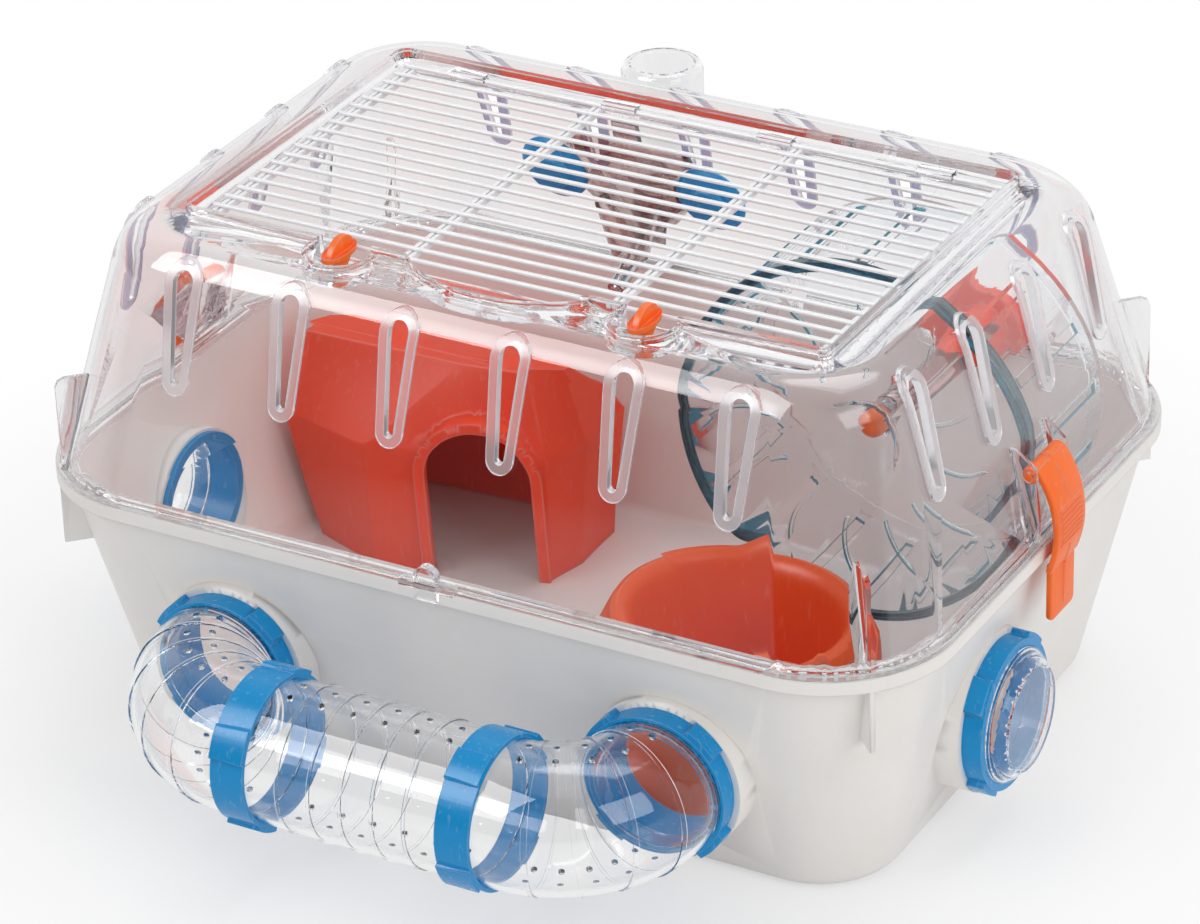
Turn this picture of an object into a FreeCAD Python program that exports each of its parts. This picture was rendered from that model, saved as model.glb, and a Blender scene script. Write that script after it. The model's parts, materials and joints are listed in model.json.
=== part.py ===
import FreeCAD, Part
import math
import os

# Small hamster cage: tray, clear cover, wire door, tube run, house, bowl, wheel and drinker.
# Units are mm. +X is to the right, -Y is the front with the tubes, +Z is up.
# The origin is the centre of the tray's flat base.

# Overall sizes
cage_length = 405.0
cage_depth = 295.0
cage_height = 225.0
tray_height = 115.0

# Tray
tray_wall = 2.5
floor_thickness = 3.0
base_inset_x = 29.9
base_inset_y = 31.0
base_corner = 34.0
base_edge_radius = 5.0
rim_corner = 55.0
rim_overhang = 3.5
rim_thickness = 2.3
skirt_height = 6.0
skirt_thickness = 2.0
rib_reach = 5.6
rib_thickness = 2.2
tray_rib_height = 27.0

# Clear cover
cover_wall = 2.0
foot_thickness = 2.0
foot_inset_x = 4.5
foot_inset_y = 3.0
foot_corner = 50.0
top_corner = 38.0
top_inset_x = 24.44
top_inset_y = 28.6
shoulder_drop = 17.0
shoulder_run = 11.0
lip_rise = 4.0
locating_rib_depth = 3.5
cover_to_tray_gap = 0.5
fin_height = 41.0

# Vent slots
slot_margin_long = 77.5
slot_margin_short = 72.5
long_side_slots = 6
short_side_slots = 4
slot_bottom_drop = 54.3
slot_top_drop = 15.4
slot_bottom_radius = 2.0
slot_top_radius = 4.6
loop_bottom_radius = 6.0
loop_top_radius = 8.5
loop_rise = 1.5

# Door opening, door and knobs
opening_inset_x = 111.4
opening_inset_y = 120.6
lip_wall = 2.5
ledge_width = 3.0
ledge_thickness = 2.0
lip_corner = 6.0
recess_depth = 11.0
wire_radius = 1.0
edge_wire_radius = 1.2
weld_depth = 0.25
long_wire_count = 19
cross_bar_width = 1.8
cross_bar_thickness = 2.4
cross_bar_pitch = 2.6
door_side_gap = 2.2
door_front_inset = 8.8
door_rear_inset = 5.7
hook_count = 4
hook_from_end = 36.7
hook_length = 16.0
knob_from_end = 77.8
knob_to_wire_gap = 0.6
knob_length = 22.0
knob_width = 10.0
knob_grip_thickness = 3.6
knob_lift = 0.3
knob_pocket_gap = 2.0
knob_shaft_radius = 3.0
finger_dip_half_width = 40.0
finger_dip_depth = 14.0

# Running clearances
pivot_clearance = 0.05
sleeve_clearance = 0.1
side_clearance = 0.2
spout_clearance = 0.3
cup_clearance = 0.4

# Ports, rings and tubes
port_height = 52.3
port_from_end = 102.5
side_port_from_front = 110.0
pad_width = 5.8
front_pad_inset = 6.0
side_pad_inset = 8.5
pad_depth = 14.0
port_bore_radius = 28.2
ring_wall = 3.2
ring_width = 8.6
ring_lug_height = 2.2
inner_flange_width = 2.4
inner_flange_thickness = 2.2
collar_wall = 1.9
tube_over_bore = 1.8
tube_wall = 2.0
bend_inside = 10.0
elbow_neck = 9.5
coupling_wall = 1.8
coupling_width = 15.0
coupling_overlap = 7.0
cap_reach = 7.5
cap_wall = 1.8
air_hole_radius = 1.3

# House
house_wall = 2.0
door_half_width = 23.5
door_collar = 5.0
door_below_roof = 20.0
door_from_corner = 50.0
house_height = 106.0
house_waist = 68.9
house_from_left = 25.5
house_from_back = 44.5
collar_reach = 3.0

# Bowl
bowl_from_right = 120.5
bowl_from_front = 102.5
bowl_rim_radius = 59.0
bowl_foot_radius = 61.0
bowl_lip_width = 9.5
bowl_lip_drop = 15.0
bowl_height = 69.0
bowl_wall = 2.6

# Wheel
wheel_to_side_gap = 19.8
wheel_from_back = 127.5
wheel_below_door = 12.9
bracket_above_foot = 6.8
arm_sleeve_radius = 8.5
arm_flare = 24.0
wheel_radius = 79.3
wheel_width = 69.0
wheel_wall = 1.6
running_slots = 18
running_slot_width = 4.8
disc_slits = 12
axle_radius = 3.0
stud_radius = 4.6

# Drinker
drinker_left_of_middle = 59.0
bottle_radius = 18.0
bottle_to_wall_gap = 4.5
bottle_below_top = 19.0
bottle_above_tray = 33.0
bottle_neck_radius = 10.6
spout_reach = 35.5
spout_radius = 4.0
ball_radius = 2.9
cup_radius = 16.5
cup_half_pitch = 38.5
cup_above_bottle_end = 12.0

# Side clips
clip_width = 26.0
clip_pivot_x_inset = 6.0
clip_above_tray = 32.0
clip_pin_radius = 2.0
clip_barrel_radius = 3.6
clip_tail_length = 28.0
cheek_thickness = 2.0

# Everything below follows the sizes above
half_length = cage_length / 2
half_depth = cage_depth / 2
plateau = cage_height - lip_rise
cover_foot = tray_height + foot_thickness
lean_x = top_inset_x / (plateau - cover_foot)
lean_y = top_inset_y / (plateau - cover_foot)
opening_length = cage_length - opening_inset_x
opening_depth = cage_depth - opening_inset_y
hook_pitch = (opening_length - 2 * hook_from_end) / (hook_count - 1)
knob_spacing = opening_length - 2 * knob_from_end
port_half_pitch = half_length - port_from_end
side_port_y = -half_depth + side_port_from_front
front_pad_reach = half_depth - front_pad_inset
side_pad_reach = half_length - side_pad_inset
bowl_x = half_length - bowl_from_right
bowl_y = -half_depth + bowl_from_front
wheel_x = half_length - wheel_to_side_gap - wheel_radius
wheel_front = half_depth - wheel_from_back
wheel_z = cage_height - recess_depth + ledge_thickness - wheel_below_door - wheel_radius
# The bracket is level with the wheel's axis, but stays on the cover's wall
bracket_z = max(wheel_z, cover_foot + bracket_above_foot)
drinker_x = -drinker_left_of_middle
bottle_top = cage_height - bottle_below_top
bottle_bottom = tray_height + bottle_above_tray
pad_radius = port_bore_radius + pad_width
ring_outer_radius = port_bore_radius + ring_wall
inner_flange_radius = port_bore_radius + inner_flange_width
tube_radius = port_bore_radius + tube_over_bore
coupling_radius = tube_radius + coupling_wall
bend_radius = tube_radius + bend_inside
straight_half = port_half_pitch - bend_radius - elbow_neck

X = FreeCAD.Vector(1, 0, 0)
Y = FreeCAD.Vector(0, 1, 0)
Z = FreeCAD.Vector(0, 0, 1)


def point(x, y, z):
    return FreeCAD.Vector(x, y, z)


def box(x0, x1, y0, y1, z0, z1):
    return Part.makeBox(x1 - x0, y1 - y0, z1 - z0, point(x0, y0, z0))


def cylinder(centre, axis, radius, length):
    return Part.makeCylinder(radius, length, centre, axis)


def tube(centre, axis, outer, inner, length):
    # a plain ring or tube between two radii
    body = cylinder(centre, axis, outer, length)
    return body.cut(cylinder(centre - axis * 1.0, axis, inner, length + 2.0))


def cone(centre, axis, radius_a, radius_b, length):
    return Part.makeCone(radius_a, radius_b, length, centre, axis)


def prism(points, direction):
    # a straight extrusion of a closed outline
    wire = Part.makePolygon(points + [points[0]])
    return Part.Face(wire).extrude(direction)


def rounded_outline(half_x, half_y, radius, z, cx=0.0, cy=0.0):
    # a rounded rectangle at one height, always eight edges starting at the same place
    edges = []
    corners = [(1, 1, 0), (-1, 1, 90), (-1, -1, 180), (1, -1, 270)]
    ends = []
    for sx, sy, start in corners:
        mx = cx + sx * (half_x - radius)
        my = cy + sy * (half_y - radius)
        arc = [point(mx + radius * math.cos(math.radians(start + a)),
                     my + radius * math.sin(math.radians(start + a)), z) for a in (0, 45, 90)]
        ends.append(arc)
    for index in range(4):
        arc = ends[index]
        following = ends[(index + 1) % 4]
        edges.append(Part.Arc(arc[0], arc[1], arc[2]).toShape())
        edges.append(Part.makeLine(arc[2], following[0]))
    return Part.Wire(edges)


def stacked(sections):
    # a solid through rounded rectangles given as (z, half x, half y, corner radius)
    # flat walls stay true planes, only the corners are ruled surfaces
    outlines = [rounded_outline(hx, hy, r, z) for z, hx, hy, r in sections]
    faces = [Part.Face(outlines[0]), Part.Face(outlines[-1])]
    for lower, upper in zip(outlines[:-1], outlines[1:]):
        for low_edge, high_edge in zip(lower.Edges, upper.Edges):
            low_ends = [vertex.Point for vertex in low_edge.Vertexes]
            high_ends = [vertex.Point for vertex in high_edge.Vertexes]
            if low_edge.Curve.TypeId == "Part::GeomLine":
                if low_ends[0].distanceToPoint(high_ends[0]) > low_ends[0].distanceToPoint(high_ends[1]):
                    high_ends.reverse()
                corners = [low_ends[0], low_ends[1], high_ends[1], high_ends[0], low_ends[0]]
                faces.append(Part.Face(Part.makePolygon(corners)))
            else:
                faces.append(Part.makeRuledSurface(low_edge, high_edge))
    shell = Part.makeShell(faces)
    shell.sewShape()
    solid = Part.Solid(shell)
    if solid.Volume < 0:
        solid.reverse()
    return solid


def plate(half_x, half_y, radius, z0, z1, cx=0.0, cy=0.0):
    wire = rounded_outline(half_x, half_y, radius, z0, cx, cy)
    return Part.Face(wire).extrude(point(0, 0, z1 - z0))


def turned(profile, centre, axis):
    # a solid of revolution from (radius, distance along the axis) pairs
    side = X if abs(axis.x) < 0.5 else Y
    points = [centre + side * r + axis * d for r, d in profile]
    wire = Part.makePolygon(points + [points[0]])
    return Part.Face(wire).revolve(centre, axis, 360)


def fuse_all(shapes):
    first = shapes[0]
    if len(shapes) == 1:
        return first
    return first.fuse(shapes[1:]).removeSplitter()


def mirrored(shape):
    return shape.mirror(point(0, 0, 0), X)


def save(name, shape):
    if shape.isNull() or not shape.isValid():
        print("warning: shape not valid:", name)
    shape.exportStep("parts/" + name + ".step")
    print(name, "solids", len(shape.Solids), "volume", round(shape.Volume, 1))


os.makedirs("parts", exist_ok=True)

# Tray wall position at any height
slope_x = (base_inset_x - rim_overhang) / tray_height
slope_y = (base_inset_y - rim_overhang) / tray_height


def tray_x(z):
    return half_length - base_inset_x + slope_x * z


def tray_y(z):
    return half_depth - base_inset_y + slope_y * z


def tray_corner(z):
    return base_corner + (rim_corner - rim_overhang - base_corner) * z / tray_height


def tray_section(z, inset, at=None):
    height = z if at is None else at
    return (height, tray_x(z) - inset, tray_y(z) - inset, tray_corner(z) - inset)


# Tray shell with a rounded bottom edge
outer_sections = []
for step in range(5):
    angle = math.radians(90.0 * step / 4)
    rise = base_edge_radius * (1 - math.cos(angle))
    inset = base_edge_radius * (1 - math.sin(angle))
    outer_sections.append(tray_section(rise, inset))
outer_sections.append(tray_section(tray_height, 0.0))
tray_outer = stacked(outer_sections)
inner_sections = []
for step in range(5):
    angle = math.radians(90.0 * step / 4)
    rise = base_edge_radius * (1 - math.cos(angle))
    inset = base_edge_radius * (1 - math.sin(angle)) + tray_wall
    inner_sections.append(tray_section(floor_thickness + rise, inset))
inner_sections.append(tray_section(tray_height + 1.0, tray_wall))
tray_inner = stacked(inner_sections)

# Rim flange with its turned-down skirt
rim_full = plate(half_length, half_depth, rim_corner, tray_height - skirt_height, tray_height)
skirt_room = plate(half_length - skirt_thickness, half_depth - skirt_thickness,
                   rim_corner - skirt_thickness, tray_height - skirt_height - 1.0,
                   tray_height - rim_thickness)
rim = rim_full.cut(skirt_room)
rim = rim.fuse(rim_full.common(tray_outer))

# Round pads around the four ports; each is one block from the wall out to its flat face
side_pad_back = side_pad_reach - pad_depth + 3.0
side_pad_depth = side_pad_reach - side_pad_back
ports = []
for side in (-1, 1):
    face = point(side * port_half_pitch, -front_pad_reach, port_height)
    ports.append(("front", side, face, Y, pad_depth))
    face = point(side * side_pad_reach, side_port_y, port_height)
    ports.append(("side", side, face, X * (-side), side_pad_depth))

pads_outside = []
pads_inside = []
bores = []
recesses = []
for place, side, face, inward, depth in ports:
    pads_outside.append(cylinder(face, inward, pad_radius, depth + 10.0))
    pads_inside.append(cylinder(face, inward, inner_flange_radius + 1.6, depth))
    bores.append(cylinder(face - inward * 5.0, inward, port_bore_radius, depth + 40.0))
    recesses.append(cylinder(face + inward * depth, inward, inner_flange_radius + 1.6, 22.0))

# Vertical ribs under the skirt at the corners
ribs = []
for sx in (-1, 1):
    for sy in (-1, 1):
        top = tray_height - skirt_height
        low = top - tray_rib_height
        centre_x = tray_x(top) - tray_corner(top)
        centre_y = tray_y(top) - tray_corner(top)
        rib_end = tray_corner(top) + rib_reach
        rib = box(0, rib_end, -rib_thickness / 2, rib_thickness / 2, low, top + 2.0)
        rib.rotate(point(0, 0, 0), Z, math.degrees(math.atan2(sy, sx)))
        rib.translate(point(sx * centre_x, sy * centre_y, 0))
        ribs.append(rib)
skirt_outline = plate(half_length - 0.5, half_depth - 0.5, rim_corner - 0.5, 0, tray_height)

tray = tray_outer.fuse([rim] + pads_outside)
for rib in ribs:
    tray = tray.fuse(rib.common(skirt_outline))
tray = tray.cut(tray_inner)
tray = tray.fuse([pad.cut(tray_inner.common(recess)) for pad, recess in zip(pads_inside, recesses)])
floor_guard = plate(tray_x(0) - 8.0, tray_y(0) - 8.0, base_corner - 8.0, 0, floor_thickness)
for cutter in recesses:
    tray = tray.cut(cutter.cut(floor_guard))
tray = tray.fuse(floor_guard)
for cutter in bores:
    tray = tray.cut(cutter)
tray = tray.removeSplitter()
save("tray", tray)

# Port collars, rings and lugs, one set per port
sleeve_outer = port_bore_radius - sleeve_clearance
sleeve_inner = sleeve_outer - collar_wall
ring_lug_radius = ring_outer_radius + ring_lug_height
ring_lug_width = ring_width - 0.8
for place, side, face, inward, depth in ports:
    outward = inward * (-1)
    label = place + ("_left" if side < 0 else "_right")
    sleeve_start = face + outward * ring_width
    sleeve_length = ring_width + depth + inner_flange_thickness
    collar = tube(sleeve_start, inward, sleeve_outer, sleeve_inner, sleeve_length)
    flange = tube(face + inward * depth, inward, inner_flange_radius, sleeve_inner, inner_flange_thickness)
    save("port_collar_" + label, fuse_all([collar, flange]))
    ring = tube(face, outward, ring_outer_radius, port_bore_radius, ring_width)
    lugs = []
    for turn in range(4):
        lug = box(-7.5, 7.5, 0, ring_lug_radius, 0, ring_lug_width)
        lug = lug.common(tube(point(0, 0, 0), Z, ring_lug_radius, ring_outer_radius - 1.0, ring_lug_width))
        lug.rotate(point(0, 0, 0), Z, 90.0 * turn - 40.0)
        lugs.append(lug)
    lug_set = Part.makeCompound(lugs)
    turn_to = FreeCAD.Rotation(Z, outward)
    lug_set.Placement = FreeCAD.Placement(face, turn_to)
    save("port_ring_" + label, fuse_all([ring] + lug_set.Solids))

# Caps on the two side ports
for place, side, face, inward, depth in ports:
    if place != "side":
        continue
    outward = inward * (-1)
    label = "left" if side < 0 else "right"
    fit = sleeve_inner - sleeve_clearance
    reach = ring_width + cap_reach
    stop = ring_width + 0.1
    profile = [(0, reach), (fit - 4.0, reach), (fit, reach - 4.0), (fit, stop + 1.5),
               (fit + 1.8, stop + 1.5), (fit + 1.8, stop), (fit, stop), (fit, 1.0),
               (fit - cap_wall, 1.0), (fit - cap_wall, reach - 4.8), (fit - 4.8, reach - cap_wall),
               (0, reach - cap_wall)]
    cap = turned(profile, face, outward)
    save("port_cap_" + label, cap)

# Tube run in front: two elbows, a straight tube and two couplings
ring_plane = front_pad_reach + ring_width
tube_axis_y = -(ring_plane + bend_radius)
spigot_outer = sleeve_inner - sleeve_clearance
spigot_inner = spigot_outer - 1.5


def vent_holes(places):
    # small round air holes straight through top and bottom
    return [cylinder(point(x, y, port_height - 40.0), Z, air_hole_radius, 80.0) for x, y in places]


def elbow(side):
    centre = point(side * (port_half_pitch - bend_radius), -ring_plane, port_height)
    start = point(side * port_half_pitch, -ring_plane, port_height)

    def round_bend(radius, degrees):
        circle = Part.makeCircle(radius, start, Y)
        return Part.Face(Part.Wire(circle)).revolve(centre, Z, -degrees * side)

    outside = round_bend(tube_radius, 90.0)
    inside = round_bend(tube_radius - tube_wall, 90.0)
    bands = []
    for part_turn in (18.0, 36.0, 54.0, 72.0):
        disc = round_bend(tube_radius + 0.6, 2.0)
        disc.rotate(centre, Z, -part_turn * side)
        bands.append(disc)
    bend = outside.fuse(bands).cut(inside)
    spigot = tube(start - Y * 2.0, Y, spigot_outer, spigot_inner, 8.5)
    collar = tube(start - Y * 2.0, Y, tube_radius - tube_wall + 0.5, spigot_inner, 2.0)
    end_x = port_half_pitch - bend_radius
    neck_start = point(side * end_x, tube_axis_y, port_height)
    neck = tube(neck_start, X * (-side), tube_radius, tube_radius - tube_wall, end_x - straight_half - 0.5)
    shape = fuse_all([bend, spigot, collar, neck])
    places = []
    for part_turn in (9.0, 27.0, 45.0, 63.0, 81.0):
        for radius in (bend_radius - 5.0, bend_radius + 5.0):
            angle = math.radians(part_turn)
            hole_x = centre.x + side * radius * math.cos(angle)
            places.append((hole_x, centre.y - radius * math.sin(angle)))
    for hole in vent_holes(places):
        shape = shape.cut(hole)
    return shape


save("elbow_left", elbow(-1))
save("elbow_right", elbow(1))

straight = tube(point(-straight_half, tube_axis_y, port_height), X, tube_radius,
                tube_radius - tube_wall, straight_half * 2)
band_pitch = straight_half / 3.5
bands = []
for index in range(-2, 3):
    band_start = point(band_pitch * index - 0.7, tube_axis_y, port_height)
    bands.append(tube(band_start, X, tube_radius + 0.6, tube_radius - 0.6, 1.4))
straight = fuse_all([straight] + bands)
hole_places = []
for index in range(6):
    for shift in (-5.0, 5.0):
        hole_places.append((band_pitch * (index - 2.5), tube_axis_y + shift))
for hole in vent_holes(hole_places):
    straight = straight.cut(hole)
save("tube_straight", straight)

coupling_start = straight_half - coupling_overlap
coupling_lug_radius = coupling_radius + 1.6
for side, label in ((-1, "left"), (1, "right")):
    start = point(side * coupling_start, tube_axis_y, port_height)
    outward = X * side
    band = tube(start, outward, coupling_radius, tube_radius + sleeve_clearance, coupling_width)
    pieces = [band]
    for turn in range(4):
        lug = box(-7.0, 7.0, 0, coupling_lug_radius, 0, coupling_width)
        lug = lug.common(tube(point(0, 0, 0), Z, coupling_lug_radius, coupling_radius - 0.8, coupling_width))
        lug.rotate(point(0, 0, 0), Z, 90.0 * turn + 30.0)
        on_tube = FreeCAD.Placement(start, FreeCAD.Rotation(Z, outward))
        lug.Placement = on_tube.multiply(lug.Placement)
        pieces.append(lug)
    save("coupling_" + label, fuse_all(pieces))

# Cover wall position at any height
foot_x = half_length - foot_inset_x
foot_y = half_depth - foot_inset_y
shoulder_z = plateau - shoulder_drop + 1.0


def cover_x(z):
    return foot_x - lean_x * (z - cover_foot)


def cover_y(z):
    return foot_y - lean_y * (z - cover_foot)


def cover_corner(z):
    return foot_corner + (top_corner - foot_corner) * (z - cover_foot) / (plateau - cover_foot)


def cover_solid(grow, low):
    # the cover's outline grown or shrunk sideways by the given amount
    sections = []
    for z in (low, shoulder_z):
        sections.append((z, cover_x(z) + grow, cover_y(z) + grow, cover_corner(z) + grow))
    drop = plateau + grow - shoulder_z
    corner = cover_corner(shoulder_z) + grow
    for step in range(1, 8):
        angle = math.radians(90.0 * step / 7)
        z = shoulder_z + drop * math.sin(angle)
        run = shoulder_run * (1 - math.cos(angle))
        sections.append((z, cover_x(z) + grow - run, cover_y(z) + grow - run, corner - run * 0.6))
    return stacked(sections)


cover_outer = cover_solid(0.0, cover_foot - foot_thickness)
cover_inner = cover_solid(-cover_wall, cover_foot)
cover_proud = cover_solid(loop_rise, cover_foot)
foot_ring = plate(half_length - 0.5, half_depth - 0.5, rim_corner - 0.5, tray_height, cover_foot)
rib_top = tray_height - locating_rib_depth
rib_half_x = tray_x(rib_top) - tray_wall - cover_to_tray_gap
rib_half_y = tray_y(rib_top) - tray_wall - cover_to_tray_gap
rib_corner = tray_corner(rib_top) - tray_wall - cover_to_tray_gap
locating = plate(rib_half_x, rib_half_y, rib_corner, rib_top, cover_foot)
locating_room = plate(rib_half_x - 1.6, rib_half_y - 1.6, rib_corner - 1.6,
                      rib_top - 1.0, cover_foot + 0.5)

# Raised frame of the door opening
half_open_x = opening_length / 2
half_open_y = opening_depth / 2
recess_floor = cage_height - recess_depth
lip_block = plate(half_open_x, half_open_y, lip_corner, recess_floor, cage_height)
lip_room = plate(half_open_x - lip_wall, half_open_y - lip_wall, lip_corner - lip_wall,
                 recess_floor + ledge_thickness, cage_height + 5.0)
frame_width = lip_wall + ledge_width
way_through = plate(half_open_x - frame_width, half_open_y - frame_width, 1.5,
                    recess_floor - 10.0, cage_height + 5.0)

# Round pockets for the knobs and the finger dip, each a floor with a wall around its front
front_wire_y = door_front_inset - half_open_y
knob_y = front_wire_y - wire_radius - knob_to_wire_gap - knob_length / 2
knob_pocket_radius = knob_length / 2 + knob_pocket_gap
dip_y = -(half_open_y - 1.2)
dip_radius = (finger_dip_half_width ** 2 + finger_dip_depth ** 2) / (2 * finger_dip_depth)
pockets = [(-knob_spacing / 2, knob_y, knob_pocket_radius),
           (knob_spacing / 2, knob_y, knob_pocket_radius),
           (0.0, dip_y - finger_dip_depth + dip_radius, dip_radius)]
ahead = box(-half_length, half_length, -half_depth, frame_width - half_open_y, 0, cage_height + 20.0)
pocket_blocks = []
pocket_rooms = []
for px, py, pr in pockets:
    block = cylinder(point(px, py, recess_floor), Z, pr + 2.0, cage_height - 2.0 - recess_floor)
    room = cylinder(point(px, py, recess_floor + ledge_thickness), Z, pr, 20.0)
    pocket_blocks.append(block.common(ahead))
    pocket_rooms.append(room.common(ahead))

# Tapered vent slots with raised loops, drawn flat and run through the walls
slot_low = cage_height - slot_bottom_drop
slot_high = cage_height - slot_top_drop


def tapered(bottom_radius, top_radius):
    # outline in (across, height) for a slot between two round ends
    rise = slot_high - slot_low
    tilt = math.asin((top_radius - bottom_radius) / rise)
    pieces = []
    right_low = (bottom_radius * math.cos(tilt), slot_low - bottom_radius * math.sin(tilt))
    right_high = (top_radius * math.cos(tilt), slot_high - top_radius * math.sin(tilt))
    pieces.append(("line", right_low, right_high))
    pieces.append(("arc", right_high, (0.0, slot_high + top_radius), (-right_high[0], right_high[1])))
    pieces.append(("line", (-right_high[0], right_high[1]), (-right_low[0], right_low[1])))
    pieces.append(("arc", (-right_low[0], right_low[1]), (0.0, slot_low - bottom_radius), right_low))
    return pieces


def slot_prism(pieces, wall, across, length):
    # wall is front, back, left or right; the prism runs outward from inside the cover
    edges = []
    for piece in pieces:
        corners = []
        for u, z in piece[1:]:
            if wall in ("front", "back"):
                corners.append(point(across + u, 0, z))
            else:
                corners.append(point(0, across + u, z))
        if piece[0] == "line":
            edges.append(Part.makeLine(corners[0], corners[1]))
        else:
            edges.append(Part.Arc(corners[0], corners[1], corners[2]).toShape())
    face = Part.Face(Part.Wire(edges))
    outward = {"front": Y * (-1), "back": Y, "left": X * (-1), "right": X}[wall]
    reach = half_open_y if wall in ("front", "back") else half_open_x
    face.translate(outward * (reach + 4.0))
    return face.extrude(outward * length)


long_pitch = (cage_length - 2 * slot_margin_long) / (long_side_slots - 1)
short_pitch = (cage_depth - 2 * slot_margin_short) / (short_side_slots - 1)
slot_places = []
for index in range(long_side_slots):
    for wall in ("front", "back"):
        slot_places.append((wall, (index - (long_side_slots - 1) / 2) * long_pitch))
for index in range(short_side_slots):
    for wall in ("left", "right"):
        slot_places.append((wall, (index - (short_side_slots - 1) / 2) * short_pitch))
open_outline = tapered(slot_bottom_radius, slot_top_radius)
loop_outline = tapered(loop_bottom_radius, loop_top_radius)
slot_openings = [slot_prism(open_outline, wall, across, 70.0) for wall, across in slot_places]
slot_loops = [slot_prism(loop_outline, wall, across, 70.0) for wall, across in slot_places]

# Corner fins of the cover
fins = []
fin_top = cover_foot + fin_height
for sx in (-1, 1):
    for sy in (-1, 1):
        centre_x = cover_x(cover_foot) - cover_corner(cover_foot)
        centre_y = cover_y(cover_foot) - cover_corner(cover_foot)
        reach = cover_corner(cover_foot) + 1.5
        outline = [point(reach - 22.0, 0, cover_foot - 0.5), point(reach, 0, cover_foot - 0.5),
                   point(reach, 0, fin_top - 4.0), point(reach - 1.2, 0, fin_top - 1.2),
                   point(reach - 4.0, 0, fin_top), point(reach - 22.0, 0, fin_top)]
        fin = prism(outline, point(0, rib_thickness, 0))
        fin.translate(point(0, -rib_thickness / 2, 0))
        fin.rotate(point(0, 0, 0), Z, math.degrees(math.atan2(sy, sx)))
        fin.translate(point(sx * centre_x, sy * centre_y, 0))
        fins.append(fin)

# Clip cheeks on both sides
clip_pivot_z = tray_height + clip_above_tray
cheek_top = clip_pivot_z + 11.0
clip_pivot_x = cover_x(clip_pivot_z) + clip_pivot_x_inset
cheek_inside = clip_width / 2 + side_clearance
cheek_side = [(cover_x(cheek_top) - 1.0, cheek_top), (cover_x(cheek_top) + 3.0, cheek_top),
              (clip_pivot_x + 3.0, clip_pivot_z + 4.0), (half_length - 0.8, cover_foot + 12.0),
              (half_length - 0.8, cover_foot - 0.5), (foot_x - 1.0, cover_foot - 0.5)]
cheeks = []
for side in (-1, 1):
    for end in (-1, 1):
        cheek = prism([point(side * x, 0, z) for x, z in cheek_side], point(0, cheek_thickness, 0))
        low = cheek_inside if end > 0 else -cheek_inside - cheek_thickness
        cheek.translate(point(0, low, 0))
        hole = cylinder(point(side * clip_pivot_x, low - 1.0, clip_pivot_z), Y,
                        clip_pin_radius + pivot_clearance, cheek_thickness + 2.0)
        cheeks.append(cheek.cut(hole))

# Front catch on the flange
catch_front = half_depth + 0.4
catch_base = box(-12.5, 12.5, -catch_front - 1.6, -foot_y + 1.0, tray_height + 0.3, cover_foot + 1.0)
catch_tab = box(-5.0, 5.0, -catch_front - 2.4, -catch_front, tray_height - 4.0, cover_foot + 4.0)
catch_dome = cylinder(point(0, -catch_front - 2.4, cover_foot + 4.0), Y, 5.0, 4.4)
catch = [catch_base, catch_tab, catch_dome]

# Bracket hole for the wheel and hole for the spout
wall_y = cover_y(bracket_z)
bottle_y = cover_y(bottle_bottom) + bottle_to_wall_gap + bottle_radius
bracket_hole = cylinder(point(wheel_x, wall_y - 12.0, bracket_z), Y, stud_radius + sleeve_clearance, 24.0)
spout_high = point(drinker_x, bottle_y, bottle_bottom - 10.0)
spout_low = point(drinker_x, half_depth - spout_reach, bottle_bottom - 32.0)
spout_way = spout_low - spout_high
spout_length = spout_way.Length
spout_way.normalize()
spout_hole = cylinder(spout_high, spout_way, spout_radius + spout_clearance, spout_length - 16.0)

cover = cover_outer.fuse([foot_ring, locating])
cover = cover.fuse([cover_proud.common(loop) for loop in slot_loops])
cover = cover.fuse(fins)
cover = cover.fuse(lip_block)
cover = cover.cut(cover_inner.cut(lip_block.fuse(pocket_blocks)))
cover = cover.cut(locating_room)
cover = cover.fuse(pocket_blocks)
cover = cover.cut(lip_room.fuse(way_through))
cover = cover.cut(Part.makeCompound(pocket_rooms))
for opening in slot_openings:
    cover = cover.cut(opening)
cover = cover.fuse(cheeks + catch)
cover = cover.cut(bracket_hole)
cover = cover.cut(spout_hole)

# Hinge hooks over the rear edge wire, open below for snapping the wire in
ledge_top = recess_floor + ledge_thickness
wire_z = ledge_top + cross_bar_thickness + wire_radius - weld_depth
rear_wire_y = half_open_y - door_rear_inset
hooks = []
for index in range(hook_count):
    middle = (index - (hook_count - 1) / 2) * hook_pitch
    hook_left = middle - hook_length / 2
    hook = box(hook_left, hook_left + hook_length, rear_wire_y - 2.6, half_open_y - lip_wall + 0.5,
               ledge_top - 0.5, wire_z + 2.8)
    bore = cylinder(point(hook_left - 1.0, rear_wire_y, wire_z), X, edge_wire_radius + pivot_clearance,
                    hook_length + 2.0)
    mouth = box(hook_left - 1.0, hook_left + hook_length + 1.0, rear_wire_y - 3.5, rear_wire_y,
                ledge_top - 1.0, wire_z - 0.6)
    mouth = mouth.fuse(box(hook_left - 1.0, hook_left + hook_length + 1.0, rear_wire_y - 3.5,
                           rear_wire_y + 0.9, ledge_top, wire_z - 0.6))
    hooks.append(hook.cut(bore).cut(mouth))
cover = cover.fuse(hooks)
for side in (-1, 1):
    cover = cover.cut(cylinder(point(side * knob_spacing / 2, knob_y, recess_floor - 2.0), Z,
                               knob_shaft_radius + pivot_clearance, 6.0))
cover = cover.removeSplitter()
save("cover", cover)

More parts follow.
